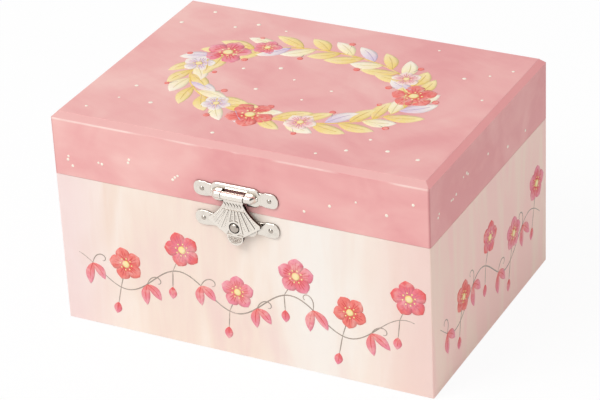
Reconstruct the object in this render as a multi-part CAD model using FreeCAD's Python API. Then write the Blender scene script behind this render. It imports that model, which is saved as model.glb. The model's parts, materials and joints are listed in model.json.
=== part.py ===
"""Musical jewellery box with a turning dancer.

A paper covered board box with a hinged lid and a fan shaped snap clasp.  Under a raised deck at the back
sits a wind-up comb and cylinder movement whose key is in a recess below the floor.  The drive wheel on the
winding arbor turns the pinned cylinder, an air governor and the dancer's spindle.

Millimetres.  +X is to the right, +Y to the back, +Z up.  All places are first worked out about the middle of
the box, then everything is shifted in Y so that the origin is the middle of the whole footprint.
"""
import FreeCAD
import Part
import math
import os

V = FreeCAD.Vector
X_AXIS = V(1, 0, 0)
Y_AXIS = V(0, 1, 0)
Z_AXIS = V(0, 0, 1)

# Box
BOX_W = 155.0
BOX_D = 110.5
BOX_H = 89.0
LID_H = 25.7
WALL = 5.0
TOP_T = 5.0
SEAM = 0.12
CORNER_R = 0.6
TOP_BEVEL = 2.2
REBATE = 2.5
FLOOR_T = 3.0
KEY_RECESS = 12.0
GROOVE = 2.0

# Fits
FIT = 0.04
RUN = 0.05
CLEAR = 0.3

# Inside of the box
DECK_DEPTH = 50.8
DECK_TOP = 39.5
DECK_T = 3.0
RISER_T = 3.0
DIVIDER_X = 14.0
DIVIDER_T = 3.0
FELT_T = 1.2
ROLL_COUNT = 4
ROLL_H = 20.0
ROLL_CROWN = 3.6
CUSHION_GAP = 0.5
CLEAT = 4.0

# Mirror in the lid
SURROUND_T = 3.0
SURROUND_BORDER = 15.0
MIRROR_T = 2.0
MIRROR_GAP = 0.2

# Hinges
HINGE_INSET = 36.0
HINGE_W = 20.0
HINGE_LEAF_H = 9.0
HINGE_LEAF_T = 0.8
HINGE_KNUCKLE_R = 1.7
HINGE_AXIS_OUT = 2.1
HINGE_PIN_R = 0.9
HINGE_MIDDLE = 7.0
HINGE_NAIL_DROP = 6.6
HINGE_NAIL_INSET = 2.8
KNUCKLE_GAP = 0.2
LID_OPEN = 100.0
HEEL_L = 3.0
HEEL_GAP = 0.08
HEEL_T = 1.2

# Nails
NAIL_HEAD_R = 0.95
NAIL_HEAD_H = 0.55
NAIL_SHANK_R = 0.5
NAIL_L = 4.0

# Clasp
SHEET_T = 0.7
EAR_X = 13.9
EAR_W = 7.0
EAR_H = 6.0
EAR_R = 2.3
EAR_NECK = 0.8
CLASP_PLATE_RISE = 6.4
PAN_W = 20.2
PAN_H = 7.8
PAN_RISE = 4.0
PAN_R = 3.0
PAN_ROUND = 2.7
WINDOW_SLIT = 0.6
CLASP_AXIS_OUT = 2.6
CLASP_AXIS_RISE = 0.1
CLASP_KNUCKLE_R = 1.5
CLASP_KNUCKLE_W = 9.0
CLASP_PIN_R = 0.75
CLASP_PIN_END = 2.2
HASP_T = 1.3
HASP_PLATE_OUT = 1.5
HASP_NECK_W = 7.8
HASP_NECK_DROP = 2.8
FAN_HALF_W = 10.6
FAN_DROP = 10.1
FAN_CORNER = 1.2
FAN_WAIST = 0.36
FAN_FOOT_HALF_W = 3.3
FAN_FOOT_DROP = 16.4
TAB_R = 3.3
TAB_DROP = 16.9
STUD_DROP = 12.9
STUD_R = 1.5
STUD_HOLE_R = 2.2
STUD_HEIGHT = 3.9
CATCH_DROP = 12.4
CATCH_PAN_W = 17.0
CATCH_PAN_H = 8.0
CATCH_PAN_RISE = 1.2
CATCH_PAN_ROUND = 0.4
RIB_COUNT = 9
RIB_H = 0.22
RIB_W = 0.7
CHEVRON_COUNT = 6
CHEVRON_DROP = 3.8
CHEVRON_PITCH = 1.25
CHEVRON_L = 1.3
CHEVRON_W = 0.35
CHEVRON_TILT = 50.0
RIBS_FROM = 0.55

# Movement
SPINDLE_BACK = 28.75
ARBOR_X = 9.0
ARBOR_Y_STEP = 12.0
BEDPLATE_T = 1.8
PLATE_RIM = 1.4
BOSS_H = 3.5
ARBOR_R = 1.8
CUP_R = 9.6
CUP_WALL = 0.7
CUP_H = 10.6
SPRING_T = 0.35
SPRING_PITCH = 1.0
SPRING_TURNS = 5
SPRING_H = 8.0
WHEEL_Z = 12.2
WHEEL_T = 1.6
WHEEL_TEETH = 60
SPINDLE_TEETH = 15
SPUR_MODULE = 0.4
CROWN_TEETH = 48
CROWN_PINION_TEETH = 16
CROWN_R = 11.1
CROWN_FACE = 1.5
CYLINDER_R = 6.2
CYLINDER_WALL = 0.9
CYLINDER_L = 20.0
CYLINDER_PINS = 72
PIN_W = 0.4
PIN_RISE = 0.8
GOLDEN_ANGLE = 137.508
CYLINDER_ARBOR_R = 1.0
GEAR_FACE = 1.4
BRACKET_T = 1.5
BRACKET_W = 6.0
BRACKET_GAP = 0.7
GOVERNOR_MODULE = 0.35
CYLINDER_GEAR_TEETH = 40
GOVERNOR_PINION_TEETH = 10
WORM_WHEEL_TEETH = 24
WORM_PITCH_R = 1.5
WORM_SHAFT_R = 0.7
GOVERNOR_ARBOR_R = 0.8
WORM_L = 6.6
FLY_R = 4.0
FLY_H = 2.7
FLY_Z = 12.9
VANE_T = 0.5
GOVERNOR_TOP = 18.4
COMB_TEETH = 18
COMB_PITCH = 1.05
COMB_SLOT = 0.3
COMB_L = 18.0
COMB_SHORT = 8.0
COMB_LONG = 11.0
COMB_T = 0.8
COMB_GAP = 0.3
SCREW_R = 1.3
SCREW_HEAD_R = 2.6
SCREW_HEAD_H = 1.4
COMB_SCREW_R = 1.0
COMB_SCREW_HEAD_R = 1.9
COMB_SCREW_L = 4.0

# Gear teeth, in modules of the gear
PRESSURE = math.radians(20)
ADDENDUM = 0.95
DEDENDUM = 1.25
TOOTH_SHARE = 0.4

# Winding key
KEY_LIFT = 1.5
KEY_HUB_R = 3.0
KEY_LOBE_R = 4.2
KEY_LOBE_X = 7.2
KEY_T = 2.0
KEY_EYE_R = 1.5

# Stop wire
WIRE_R = 0.6
WIRE_BEND_R = 1.3
WIRE_BACK = 3.0
WIRE_TIP_SHARE = 0.7

# Dancer
SPINDLE_R = 1.5
BUSH_WALL = 1.2
BUSH_FLANGE_R = 4.2
BUSH_FLANGE_T = 0.6
TURNTABLE_R = 8.5
TURNTABLE_T = 1.6
DANCER_LID_GAP = 1.6
TUTU_R = 12.4
TUTU_T = 1.0
TUTU_FOLDS = 12
TUTU_WAVE = 0.9
TUTU_DROP = 1.6

# Dancer's build: radii and heights as shares of the figure's height
LEG_PROFILE = [(0, 0), (0.014, 0.004), (0.026, 0.06), (0.024, 0.1),
               (0.038, 0.2), (0.032, 0.27), (0.046, 0.38), (0, 0.45)]
TORSO_PROFILE = [(0, 0.4), (0.07, 0.425), (0.082, 0.46), (0.056, 0.535), (0.078, 0.61),
                 (0.072, 0.655), (0.03, 0.685), (0.026, 0.72), (0, 0.74)]
LEG_X = 0.034
SHOULDER_X = 0.075
SHOULDER_Z = 0.655
SHOULDER_SWELL = 1.2
ELBOW_X = 0.155
ELBOW_Z = 0.82
HAND_X = 0.02
HAND_Z = 0.978
ARM_Y = -0.02
ARM_R = 0.021
HEAD_R = 0.07
HEAD_Z = 0.775
BUN_R = 0.036
BUN_Y = 0.035
BUN_Z = 0.85
WAIST_R = 0.085
WAIST_Z = 0.46

# Levels and faces that follow from the sizes above
SEAM_Z = BOX_H - LID_H
BASE_TOP = SEAM_Z - SEAM
IN_X = BOX_W / 2 - WALL
IN_Y = BOX_D / 2 - WALL
FLOOR_TOP = KEY_RECESS + FLOOR_T
DECK_BOTTOM = DECK_TOP - DECK_T
DECK_FRONT = IN_Y - DECK_DEPTH
SPINDLE_Y = IN_Y - SPINDLE_BACK
LID_CEILING = BOX_H - TOP_T
SURROUND_Z = LID_CEILING - SURROUND_T
FRONT = -BOX_D / 2
BACK = BOX_D / 2
HINGE_Z = SEAM_Z - SEAM / 2
HINGE_Y = BACK + HINGE_AXIS_OUT
CLASP_Z = SEAM_Z + CLASP_PLATE_RISE
CLASP_AXIS_Z = CLASP_Z + CLASP_AXIS_RISE
CLASP_AXIS_Y = FRONT - CLASP_AXIS_OUT
CATCH_Z = CLASP_AXIS_Z - CATCH_DROP
FRONT_REACH = CLASP_AXIS_OUT + CLASP_KNUCKLE_R
HEEL_OUT = HINGE_AXIS_OUT - HINGE_LEAF_T - HEEL_GAP
HEEL_REACH = HEEL_L * math.sin(math.radians(LID_OPEN)) - HEEL_OUT * math.cos(math.radians(LID_OPEN))
BACK_REACH = HINGE_AXIS_OUT + HEEL_REACH
FRAME_SHIFT = V(0, (FRONT_REACH - BACK_REACH) / 2, 0)
PLATE_TOP = FLOOR_TOP + BEDPLATE_T
ARBOR_Y = SPINDLE_Y + ARBOR_Y_STEP

# Places of the movement's pieces
CROWN_MODULE = 2 * CROWN_R / CROWN_TEETH
WHEEL_UNDER = PLATE_TOP + WHEEL_Z
CROWN_TIP_Z = WHEEL_UNDER - CROWN_MODULE * (ADDENDUM + DEDENDUM)
TRAIN_Z = WHEEL_UNDER - CROWN_MODULE * (DEDENDUM + CROWN_PINION_TEETH / 2)
WHEEL_TIP_R = SPUR_MODULE * (WHEEL_TEETH / 2 + ADDENDUM)
PINION_X = ARBOR_X - CROWN_R
INNER_BRACKET_X = PINION_X - GEAR_FACE / 2 - BRACKET_GAP - BRACKET_T
CYLINDER_X = INNER_BRACKET_X - BRACKET_GAP - CYLINDER_L
GEAR_X = CYLINDER_X - GEAR_FACE
OUTER_BRACKET_X = GEAR_X - BRACKET_GAP - BRACKET_T
WORM_TIP_R = WORM_PITCH_R + GOVERNOR_MODULE * ADDENDUM
WORM_X = OUTER_BRACKET_X - BRACKET_GAP - WORM_TIP_R
GOVERNOR_BRACKET_X = WORM_X - FLY_R - BRACKET_GAP - BRACKET_T
GOVERNOR_Y = ARBOR_Y + GOVERNOR_MODULE * (CYLINDER_GEAR_TEETH + GOVERNOR_PINION_TEETH) / 2
WORM_WHEEL_R = GOVERNOR_MODULE * WORM_WHEEL_TEETH / 2
WORM_Y = GOVERNOR_Y - WORM_WHEEL_R - WORM_PITCH_R
COMB_TIP_Y = ARBOR_Y - CYLINDER_R - PIN_RISE - COMB_GAP
COMB_FRONT_Y = COMB_TIP_Y - COMB_L
PLATE_X0 = GOVERNOR_BRACKET_X - PLATE_RIM
PLATE_X1 = ARBOR_X + WHEEL_TIP_R + PLATE_RIM
PLATE_Y0 = COMB_FRONT_Y - PLATE_RIM
PLATE_Y1 = GOVERNOR_Y + WORM_WHEEL_R + PLATE_RIM
FLY_TOP = PLATE_TOP + FLY_Z + FLY_H
WIRE_Z = FLY_TOP + CLEAR + WIRE_R
WIRE_X = WORM_X
WIRE_Y = IN_Y - WIRE_BACK

# Levels of the dancer
TURNTABLE_Z = DECK_TOP + BUSH_FLANGE_T + CLEAR
STAGE_Z = TURNTABLE_Z + TURNTABLE_T
DANCER_H = SURROUND_Z - DANCER_LID_GAP - STAGE_Z


def block(x0, x1, y0, y1, z0, z1):
    return Part.makeBox(x1 - x0, y1 - y0, z1 - z0, V(x0, y0, z0))


def rod(radius, start, direction, length):
    return Part.makeCylinder(radius, length, start, direction)


def tube(outer, inner, start, direction, length):
    return rod(outer, start, direction, length).cut(rod(inner, start, direction, length))


def polygon_prism(points, push):
    """A prism over a closed outline of straight runs."""
    return Part.Face(Part.makePolygon(points + [points[0]])).extrude(push)


def outline_prism(edges, push):
    """A prism over a closed outline of lines and arcs."""
    return Part.Face(Part.Wire(edges)).extrude(push)


def line(a, b):
    return Part.LineSegment(a, b).toShape()


def arc(a, middle, b):
    return Part.Arc(a, middle, b).toShape()


def rounded_rectangle(cx, cz, width, height, radius, y):
    """Wire edges of a rounded rectangle standing in an XZ plane."""
    x0 = cx - width / 2
    x1 = cx + width / 2
    z0 = cz - height / 2
    z1 = cz + height / 2
    k = radius * (1 - math.sqrt(0.5))
    return [
        line(V(x0 + radius, y, z0), V(x1 - radius, y, z0)),
        arc(V(x1 - radius, y, z0), V(x1 - k, y, z0 + k), V(x1, y, z0 + radius)),
        line(V(x1, y, z0 + radius), V(x1, y, z1 - radius)),
        arc(V(x1, y, z1 - radius), V(x1 - k, y, z1 - k), V(x1 - radius, y, z1)),
        line(V(x1 - radius, y, z1), V(x0 + radius, y, z1)),
        arc(V(x0 + radius, y, z1), V(x0 + k, y, z1 - k), V(x0, y, z1 - radius)),
        line(V(x0, y, z1 - radius), V(x0, y, z0 + radius)),
        arc(V(x0, y, z0 + radius), V(x0 + k, y, z0 + k), V(x0 + radius, y, z0)),
    ]


def round_upright_edges(shape, radius, places):
    """Rounds the upright edges that stand at the given (x, y) places."""
    chosen = []
    for edge in shape.Edges:
        a = edge.Vertexes[0].Point
        b = edge.Vertexes[-1].Point
        upright = abs(a.x - b.x) < 1e-6 and abs(a.y - b.y) < 1e-6
        if upright and any(abs(a.x - x) < 1e-6 and abs(a.y - y) < 1e-6 for x, y in places):
            chosen.append(edge)
    return shape.makeFillet(radius, chosen)


def write(name, *solids):
    shape = solids[0] if len(solids) == 1 else Part.makeCompound(list(solids))
    shape = shape.copy()
    shape.translate(FRAME_SHIFT)
    shape.exportStep(f"parts/{name}.step")


# Box boards

def front_board(z0, z1):
    """A front board with a rebate at each end for the side boards."""
    board = block(-BOX_W / 2, BOX_W / 2, FRONT, FRONT + WALL, z0, z1)
    for side in (-1, 1):
        xs = sorted((side * IN_X, side * BOX_W / 2))
        board = board.cut(block(xs[0], xs[1], FRONT + REBATE, FRONT + WALL, z0, z1))
    return round_upright_edges(board, CORNER_R, [(-BOX_W / 2, FRONT), (BOX_W / 2, FRONT)])


def side_board(side, z0, z1):
    xs = sorted((side * IN_X, side * BOX_W / 2))
    return block(xs[0], xs[1], FRONT + REBATE, BACK - REBATE, z0, z1)


def turned_round(shape):
    """The same board at the opposite side of the box."""
    return shape.rotated(V(0, 0, 0), Z_AXIS, 180)


def floor_groove():
    """The room for the floor board and its groove in the four walls."""
    x = IN_X + GROOVE
    y = IN_Y + GROOVE
    return block(-x, x, -y, y, KEY_RECESS - FIT, FLOOR_TOP + FIT)


def write_base_boards():
    groove = floor_groove()
    front = front_board(0, BASE_TOP)
    write("base_front", front.cut(groove))
    write("base_back", turned_round(front).cut(groove))
    write("base_left", side_board(-1, 0, BASE_TOP).cut(groove))
    write("base_right", side_board(1, 0, BASE_TOP).cut(groove))
    x = IN_X + GROOVE - FIT
    y = IN_Y + GROOVE - FIT
    floor = block(-x, x, -y, y, KEY_RECESS, FLOOR_TOP)
    floor = floor.cut(rod(ARBOR_R + CLEAR, V(ARBOR_X, ARBOR_Y, KEY_RECESS), Z_AXIS, FLOOR_T))
    for place in movement_screw_places():
        floor = floor.cut(rod(SCREW_R + RUN, V(*place, KEY_RECESS), Z_AXIS, FLOOR_T))
    write("base_floor", floor)


def bevelled_top_profile(half, z0, z1):
    """Edges of an upright section with its two upper corners bevelled, in the XZ plane at y = 0."""
    bevel = TOP_BEVEL
    points = [
        V(-half, 0, z0),
        V(half, 0, z0),
        V(half, 0, z1 - bevel),
        V(half - bevel, 0, z1),
        V(bevel - half, 0, z1),
        V(-half, 0, z1 - bevel),
    ]
    return [line(p, q) for p, q in zip(points, points[1:] + points[:1])]


def lid_top():
    """The lid's top board: bevelled along its upper edges, with small upright corners."""
    across = outline_prism(bevelled_top_profile(BOX_W / 2, LID_CEILING, BOX_H), V(0, BOX_D, 0))
    across.translate(V(0, FRONT, 0))
    along = outline_prism(bevelled_top_profile(BOX_D / 2, LID_CEILING, BOX_H), V(0, BOX_W, 0))
    along.translate(V(0, -BOX_W / 2, 0))
    along = along.rotated(V(0, 0, 0), Z_AXIS, 90)
    plan = block(-BOX_W / 2, BOX_W / 2, FRONT, BACK, LID_CEILING, BOX_H)
    corners = [(sx * BOX_W / 2, sy * BOX_D / 2) for sx in (-1, 1) for sy in (-1, 1)]
    plan = round_upright_edges(plan, CORNER_R, corners)
    return across.common(along).common(plan).removeSplitter()


def write_lid_boards():
    front = front_board(SEAM_Z, LID_CEILING)
    write("lid_front", front)
    write("lid_back", turned_round(front))
    write("lid_left", side_board(-1, SEAM_Z, LID_CEILING))
    write("lid_right", side_board(1, SEAM_Z, LID_CEILING))
    write("lid_top", lid_top())


def write_mirror():
    x = IN_X - FIT
    y = IN_Y - FIT
    surround = block(-x, x, -y, y, SURROUND_Z, LID_CEILING)
    wx = x - SURROUND_BORDER
    wy = y - SURROUND_BORDER
    write("mirror_surround", surround.cut(block(-wx, wx, -wy, wy, SURROUND_Z, LID_CEILING)))
    gx = wx - MIRROR_GAP
    gy = wy - MIRROR_GAP
    write("mirror", block(-gx, gx, -gy, gy, LID_CEILING - MIRROR_T, LID_CEILING))


# Inside of the base

def ring_cushion():
    """A row of foam rolls to hold rings: crowned tops that meet in slits, drawn in at the foot."""
    x0 = DIVIDER_X + DIVIDER_T / 2 + CUSHION_GAP
    x1 = IN_X - CUSHION_GAP
    y0 = -IN_Y + CUSHION_GAP
    y1 = DECK_FRONT - CUSHION_GAP
    pitch = (y1 - y0) / ROLL_COUNT
    z0 = FLOOR_TOP
    z1 = FLOOR_TOP + ROLL_H
    draw = CUSHION_GAP
    edges = [line(V(x0, y1 - draw, z0), V(x0, y0 + draw, z0))]
    edges.append(line(V(x0, y0 + draw, z0), V(x0, y0, z1 - ROLL_CROWN)))
    for n in range(ROLL_COUNT):
        a = V(x0, y0 + n * pitch, z1 - ROLL_CROWN)
        b = V(x0, y0 + (n + 1) * pitch, z1 - ROLL_CROWN)
        edges.append(arc(a, V(x0, y0 + (n + 0.5) * pitch, z1), b))
    edges.append(line(V(x0, y1, z1 - ROLL_CROWN), V(x0, y1 - draw, z0)))
    return outline_prism(edges, V(x1 - x0, 0, 0))


def write_interior():
    x = IN_X - FIT
    deck = block(-x, x, DECK_FRONT, IN_Y - FIT, DECK_BOTTOM, DECK_TOP)
    bush_hole = SPINDLE_R + RUN + BUSH_WALL + FIT
    deck = deck.cut(rod(bush_hole, V(0, SPINDLE_Y, DECK_BOTTOM), Z_AXIS, DECK_T))
    deck = deck.cut(rod(WIRE_R + RUN, V(WIRE_X, WIRE_Y, DECK_BOTTOM), Z_AXIS, DECK_T))
    write("deck", deck)
    write("deck_riser", block(-x, x, DECK_FRONT, DECK_FRONT + RISER_T, FLOOR_TOP, DECK_BOTTOM))
    left = DIVIDER_X - DIVIDER_T / 2
    right = DIVIDER_X + DIVIDER_T / 2
    front = -IN_Y + FIT
    write("compartment_divider", block(left, right, front, DECK_FRONT - FIT, FLOOR_TOP, DECK_TOP))
    felt = block(-x, left - FIT, front, DECK_FRONT - FIT, FLOOR_TOP, FLOOR_TOP + FELT_T)
    write("compartment_felt", felt)
    write("ring_cushion", ring_cushion())


# Hinges on the back

def nail(head_at, direction):
    """A round headed nail: its head stands on head_at and its shank runs back along -direction."""
    sphere_r = (NAIL_HEAD_R ** 2 + NAIL_HEAD_H ** 2) / (2 * NAIL_HEAD_H)
    ball = Part.makeSphere(sphere_r, head_at + direction * (NAIL_HEAD_H - sphere_r))
    head = ball.common(rod(NAIL_HEAD_R, head_at, direction, NAIL_HEAD_H))
    return head.fuse(rod(NAIL_SHANK_R, head_at - direction * NAIL_L, direction, NAIL_L))


def nail_hole(head_at, direction):
    return rod(NAIL_SHANK_R + FIT, head_at - direction * NAIL_L, direction, NAIL_L)


def hinge_nail_places(x, up):
    z = HINGE_Z + up * HINGE_NAIL_DROP
    reach = HINGE_W / 2 - HINGE_NAIL_INSET
    return [V(x + s * reach, BACK + HINGE_LEAF_T, z) for s in (-1, 1)]


def hinge_leaf(x, up, spans, bare_spans):
    """A leaf on the back face: up is 1 on the lid and -1 on the base, spans are its knuckles along X."""
    far = HINGE_Z + up * (HINGE_KNUCKLE_R + HINGE_LEAF_H)
    near = HINGE_Z + up * (HINGE_KNUCKLE_R + CLEAR)
    zs = sorted((near, far))
    corner = NAIL_HEAD_R
    plate = outline_prism(
        rounded_rectangle(x, (zs[0] + zs[1]) / 2, HINGE_W, zs[1] - zs[0], corner, BACK),
        V(0, HINGE_LEAF_T, 0),
    )
    solids = []
    for a, b in spans:
        solids.append(rod(HINGE_KNUCKLE_R, V(x + a, HINGE_Y, HINGE_Z), X_AXIS, b - a))
        zs = sorted((HINGE_Z, near + up * corner))
        solids.append(block(x + a, x + b, HINGE_Y - HINGE_KNUCKLE_R, HINGE_Y - HINGE_PIN_R, *zs))
        zs = sorted((near, near + up * corner))
        solids.append(block(x + a, x + b, BACK, BACK + HINGE_LEAF_T, *zs))
    leaf = plate.fuse(solids)
    for a, b in bare_spans:
        room = HINGE_KNUCKLE_R + CLEAR
        leaf = leaf.cut(rod(room, V(x + a, HINGE_Y, HINGE_Z), X_AXIS, b - a))
    bore = rod(HINGE_PIN_R + RUN, V(x - HINGE_W, HINGE_Y, HINGE_Z), X_AXIS, 2 * HINGE_W)
    leaf = leaf.cut(bore)
    for place in hinge_nail_places(x, up):
        leaf = leaf.cut(nail_hole(place, Y_AXIS))
    return leaf.removeSplitter()


def stop_heel(x, a, b):
    """The heel on the lid leaf's knuckle: drawn against the base leaf with the lid open, then closed."""
    y0 = HINGE_Y - HEEL_OUT
    heel = block(x + a, x + b, y0, y0 + HEEL_T, HINGE_Z - HEEL_L, HINGE_Z)
    return heel.rotated(V(x, HINGE_Y, HINGE_Z), X_AXIS, LID_OPEN)


def write_hinges():
    half = HINGE_W / 2
    inner = HINGE_MIDDLE / 2
    middle = [(-inner, inner)]
    outer = [(-half, -inner - KNUCKLE_GAP), (inner + KNUCKLE_GAP, half)]
    hinge_x = BOX_W / 2 - HINGE_INSET
    pins = []
    base_nails = []
    lid_nails = []
    for name, x in (("left", -hinge_x), ("right", hinge_x)):
        write(f"hinge_base_leaf_{name}", hinge_leaf(x, -1, outer, middle))
        bore = rod(HINGE_PIN_R + RUN, V(x - half, HINGE_Y, HINGE_Z), X_AXIS, HINGE_W)
        heel = stop_heel(x, *middle[0]).cut(bore)
        write(f"hinge_lid_leaf_{name}", hinge_leaf(x, 1, middle, outer).fuse(heel).removeSplitter())
        pins.append(rod(HINGE_PIN_R, V(x - half, HINGE_Y, HINGE_Z), X_AXIS, HINGE_W))
        base_nails += [nail(p, Y_AXIS) for p in hinge_nail_places(x, -1)]
        lid_nails += [nail(p, Y_AXIS) for p in hinge_nail_places(x, 1)]
    write("hinge_pins", *pins)
    write("hinge_base_nails", *base_nails)
    write("hinge_lid_nails", *lid_nails)


# Clasp on the front

def on_front(x, out, z):
    """A point at a given distance out from the front face."""
    return V(x, FRONT - out, z)


def front_disc(radius, x, z, out, thick):
    return rod(radius, on_front(x, out, z), -Y_AXIS, thick)


def raised_pan(z, width, height, rise, rim_r):
    """A block with rounded corners and a rounded rim, raised from the front face."""
    pan = outline_prism(rounded_rectangle(0, z, width, height, PAN_R, FRONT), V(0, -rise, 0))
    rim = [e for e in pan.Edges if all(abs(v.Y - (FRONT - rise)) < 1e-6 for v in e.Vertexes)]
    return pan.makeFillet(rim_r, rim)


def ear_plate(z, pan):
    """A sheet plate with a blunt nailed ear at each end and a raised pan in the middle."""
    neck = EAR_H * EAR_NECK / 2
    bar = block(-EAR_X, EAR_X, FRONT - SHEET_T, FRONT, z - neck, z + neck)
    ears = []
    for side in (-1, 1):
        outline = rounded_rectangle(side * EAR_X, z, EAR_W, EAR_H, EAR_R, FRONT)
        ears.append(outline_prism(outline, V(0, -SHEET_T, 0)))
    plate = bar.fuse(ears + [pan]).removeSplitter()
    for place in ear_places(z):
        plate = plate.cut(nail_hole(place, -Y_AXIS))
    return plate


def ear_places(z):
    return [on_front(s * EAR_X, SHEET_T, z) for s in (-1, 1)]


def clasp_hinge_plate():
    """The lid's clasp plate: its pan is open in the middle, below a bridge, for the hasp's knuckle."""
    pan = raised_pan(CLASP_Z, PAN_W, PAN_H, PAN_RISE, PAN_ROUND)
    plate = ear_plate(CLASP_Z, pan)
    half = CLASP_KNUCKLE_W / 2 + KNUCKLE_GAP
    top = CLASP_AXIS_Z + CLASP_KNUCKLE_R + WINDOW_SLIT
    plate = plate.cut(block(-half, half, FRONT - FRONT_REACH, FRONT, CLASP_Z - PAN_H, top))
    return plate.cut(clasp_rod(CLASP_PIN_R + FIT))


def clasp_rod(radius):
    """A rod as long as the clasp's pin, on the clasp's axis."""
    length = PAN_W - 2 * CLASP_PIN_END
    return rod(radius, V(-length / 2, CLASP_AXIS_Y, CLASP_AXIS_Z), X_AXIS, length)


def fan_prism(inset, out, thick):
    """The hasp's fan below its knuckle, drawn in all round by inset."""
    def at(x, drop):
        return on_front(x, out, CLASP_AXIS_Z - drop)

    top = CLASP_KNUCKLE_W / 2 - inset
    neck = HASP_NECK_W / 2 - inset
    wide = FAN_HALF_W - inset
    foot = FAN_FOOT_HALF_W - inset
    waist = neck + (wide - neck) * FAN_WAIST
    waist_drop = (HASP_NECK_DROP + FAN_DROP) / 2
    end = FAN_FOOT_DROP - inset
    corner = FAN_DROP + FAN_CORNER - inset
    edges = [
        line(at(-top, 0), at(top, 0)),
        line(at(top, 0), at(neck, HASP_NECK_DROP)),
        arc(at(neck, HASP_NECK_DROP), at(waist, waist_drop), at(wide, FAN_DROP)),
        line(at(wide, FAN_DROP), at(wide, corner)),
        line(at(wide, corner), at(foot, end)),
        line(at(foot, end), at(-foot, end)),
        line(at(-foot, end), at(-wide, corner)),
        line(at(-wide, corner), at(-wide, FAN_DROP)),
        arc(at(-wide, FAN_DROP), at(-waist, waist_drop), at(-neck, HASP_NECK_DROP)),
        line(at(-neck, HASP_NECK_DROP), at(-top, 0)),
    ]
    return outline_prism(edges, V(0, -thick, 0))


def fan_ribs():
    """Shallow ribs that spread from the hasp's neck."""
    face = HASP_PLATE_OUT + HASP_T
    spread = math.degrees(math.atan2(FAN_HALF_W, FAN_DROP))
    ribs = []
    for n in range(RIB_COUNT):
        angle = spread * (2 * n / (RIB_COUNT - 1) - 1)
        y1 = FRONT - face
        rib = block(-RIB_W / 2, RIB_W / 2, y1 - RIB_H, y1, CLASP_AXIS_Z - TAB_DROP, CLASP_AXIS_Z)
        ribs.append(rib.rotated(V(0, 0, CLASP_AXIS_Z), Y_AXIS, angle))
    field = fan_prism(RIB_W, face, RIB_H)
    top = block(-FAN_HALF_W, FAN_HALF_W, FRONT - FRONT_REACH, FRONT,
                CLASP_AXIS_Z - FAN_DROP * RIBS_FROM, CLASP_AXIS_Z + CLASP_KNUCKLE_R)
    eye = front_disc(STUD_HOLE_R + RIB_W, 0, CLASP_AXIS_Z - STUD_DROP, 0, FRONT_REACH)
    field = field.cut(top).cut(eye)
    return [rib.common(field) for rib in ribs]


def neck_chevrons():
    """A row of small raised chevrons across the hasp's neck."""
    z = CLASP_AXIS_Z - CHEVRON_DROP
    y1 = FRONT - HASP_PLATE_OUT - HASP_T
    strokes = []
    for n in range(CHEVRON_COUNT):
        x = (n - (CHEVRON_COUNT - 1) / 2) * CHEVRON_PITCH
        bar = block(x - CHEVRON_L, x, y1 - RIB_H, y1, z - CHEVRON_W / 2, z + CHEVRON_W / 2)
        strokes += [bar.rotated(V(x, y1, z), Y_AXIS, side * CHEVRON_TILT) for side in (-1, 1)]
    return strokes


def eye_rim():
    """The raised rim round the hasp's eye."""
    z = CLASP_AXIS_Z - STUD_DROP
    out = HASP_PLATE_OUT + HASP_T
    return front_disc(STUD_HOLE_R + RIB_W, 0, z, out, RIB_H)


def tab_line():
    """The raised line that parts the hasp's fan from its tab."""
    z = CLASP_AXIS_Z - FAN_FOOT_DROP
    y1 = FRONT - HASP_PLATE_OUT - HASP_T
    return block(-FAN_FOOT_HALF_W, FAN_FOOT_HALF_W, y1 - RIB_H, y1, z, z + RIB_W)


def clasp_hasp():
    half = CLASP_KNUCKLE_W / 2
    knuckle = rod(CLASP_KNUCKLE_R, V(-half, CLASP_AXIS_Y, CLASP_AXIS_Z), X_AXIS, CLASP_KNUCKLE_W)
    tab = front_disc(TAB_R, 0, CLASP_AXIS_Z - TAB_DROP, HASP_PLATE_OUT, HASP_T)
    fan = fan_prism(0, HASP_PLATE_OUT, HASP_T)
    hasp = fan.fuse([tab, knuckle, eye_rim(), tab_line()] + fan_ribs() + neck_chevrons()).removeSplitter()
    hasp = hasp.cut(front_disc(STUD_HOLE_R, 0, CLASP_AXIS_Z - STUD_DROP, 0, FRONT_REACH))
    return hasp.cut(rod(CLASP_PIN_R + RUN, V(-half, CLASP_AXIS_Y, CLASP_AXIS_Z), X_AXIS, CLASP_KNUCKLE_W))


def clasp_stud():
    """A domed stud on the catch plate."""
    z = CLASP_AXIS_Z - STUD_DROP
    dome_h = STUD_R / 2
    dome_r = (STUD_R ** 2 + dome_h ** 2) / (2 * dome_h)
    ball = Part.makeSphere(dome_r, on_front(0, STUD_HEIGHT - dome_r, z))
    head = ball.common(front_disc(STUD_R, 0, z, STUD_HEIGHT - dome_h, dome_h))
    neck = front_disc(STUD_R, 0, z, CATCH_PAN_RISE, STUD_HEIGHT - dome_h - CATCH_PAN_RISE)
    return head.fuse(neck).removeSplitter()


def write_clasp():
    write("clasp_hinge_plate", clasp_hinge_plate())
    write("clasp_plate_nails", *[nail(p, -Y_AXIS) for p in ear_places(CLASP_Z)])
    write("clasp_pin", clasp_rod(CLASP_PIN_R))
    write("clasp_hasp", clasp_hasp())
    pan = raised_pan(CATCH_Z, CATCH_PAN_W, CATCH_PAN_H, CATCH_PAN_RISE, CATCH_PAN_ROUND)
    write("clasp_catch_plate", ear_plate(CATCH_Z, pan))
    write("clasp_catch_nails", *[nail(p, -Y_AXIS) for p in ear_places(CATCH_Z)])
    write("clasp_stud", clasp_stud())


# Gears


def involute(angle):
    return math.tan(angle) - angle


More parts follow.
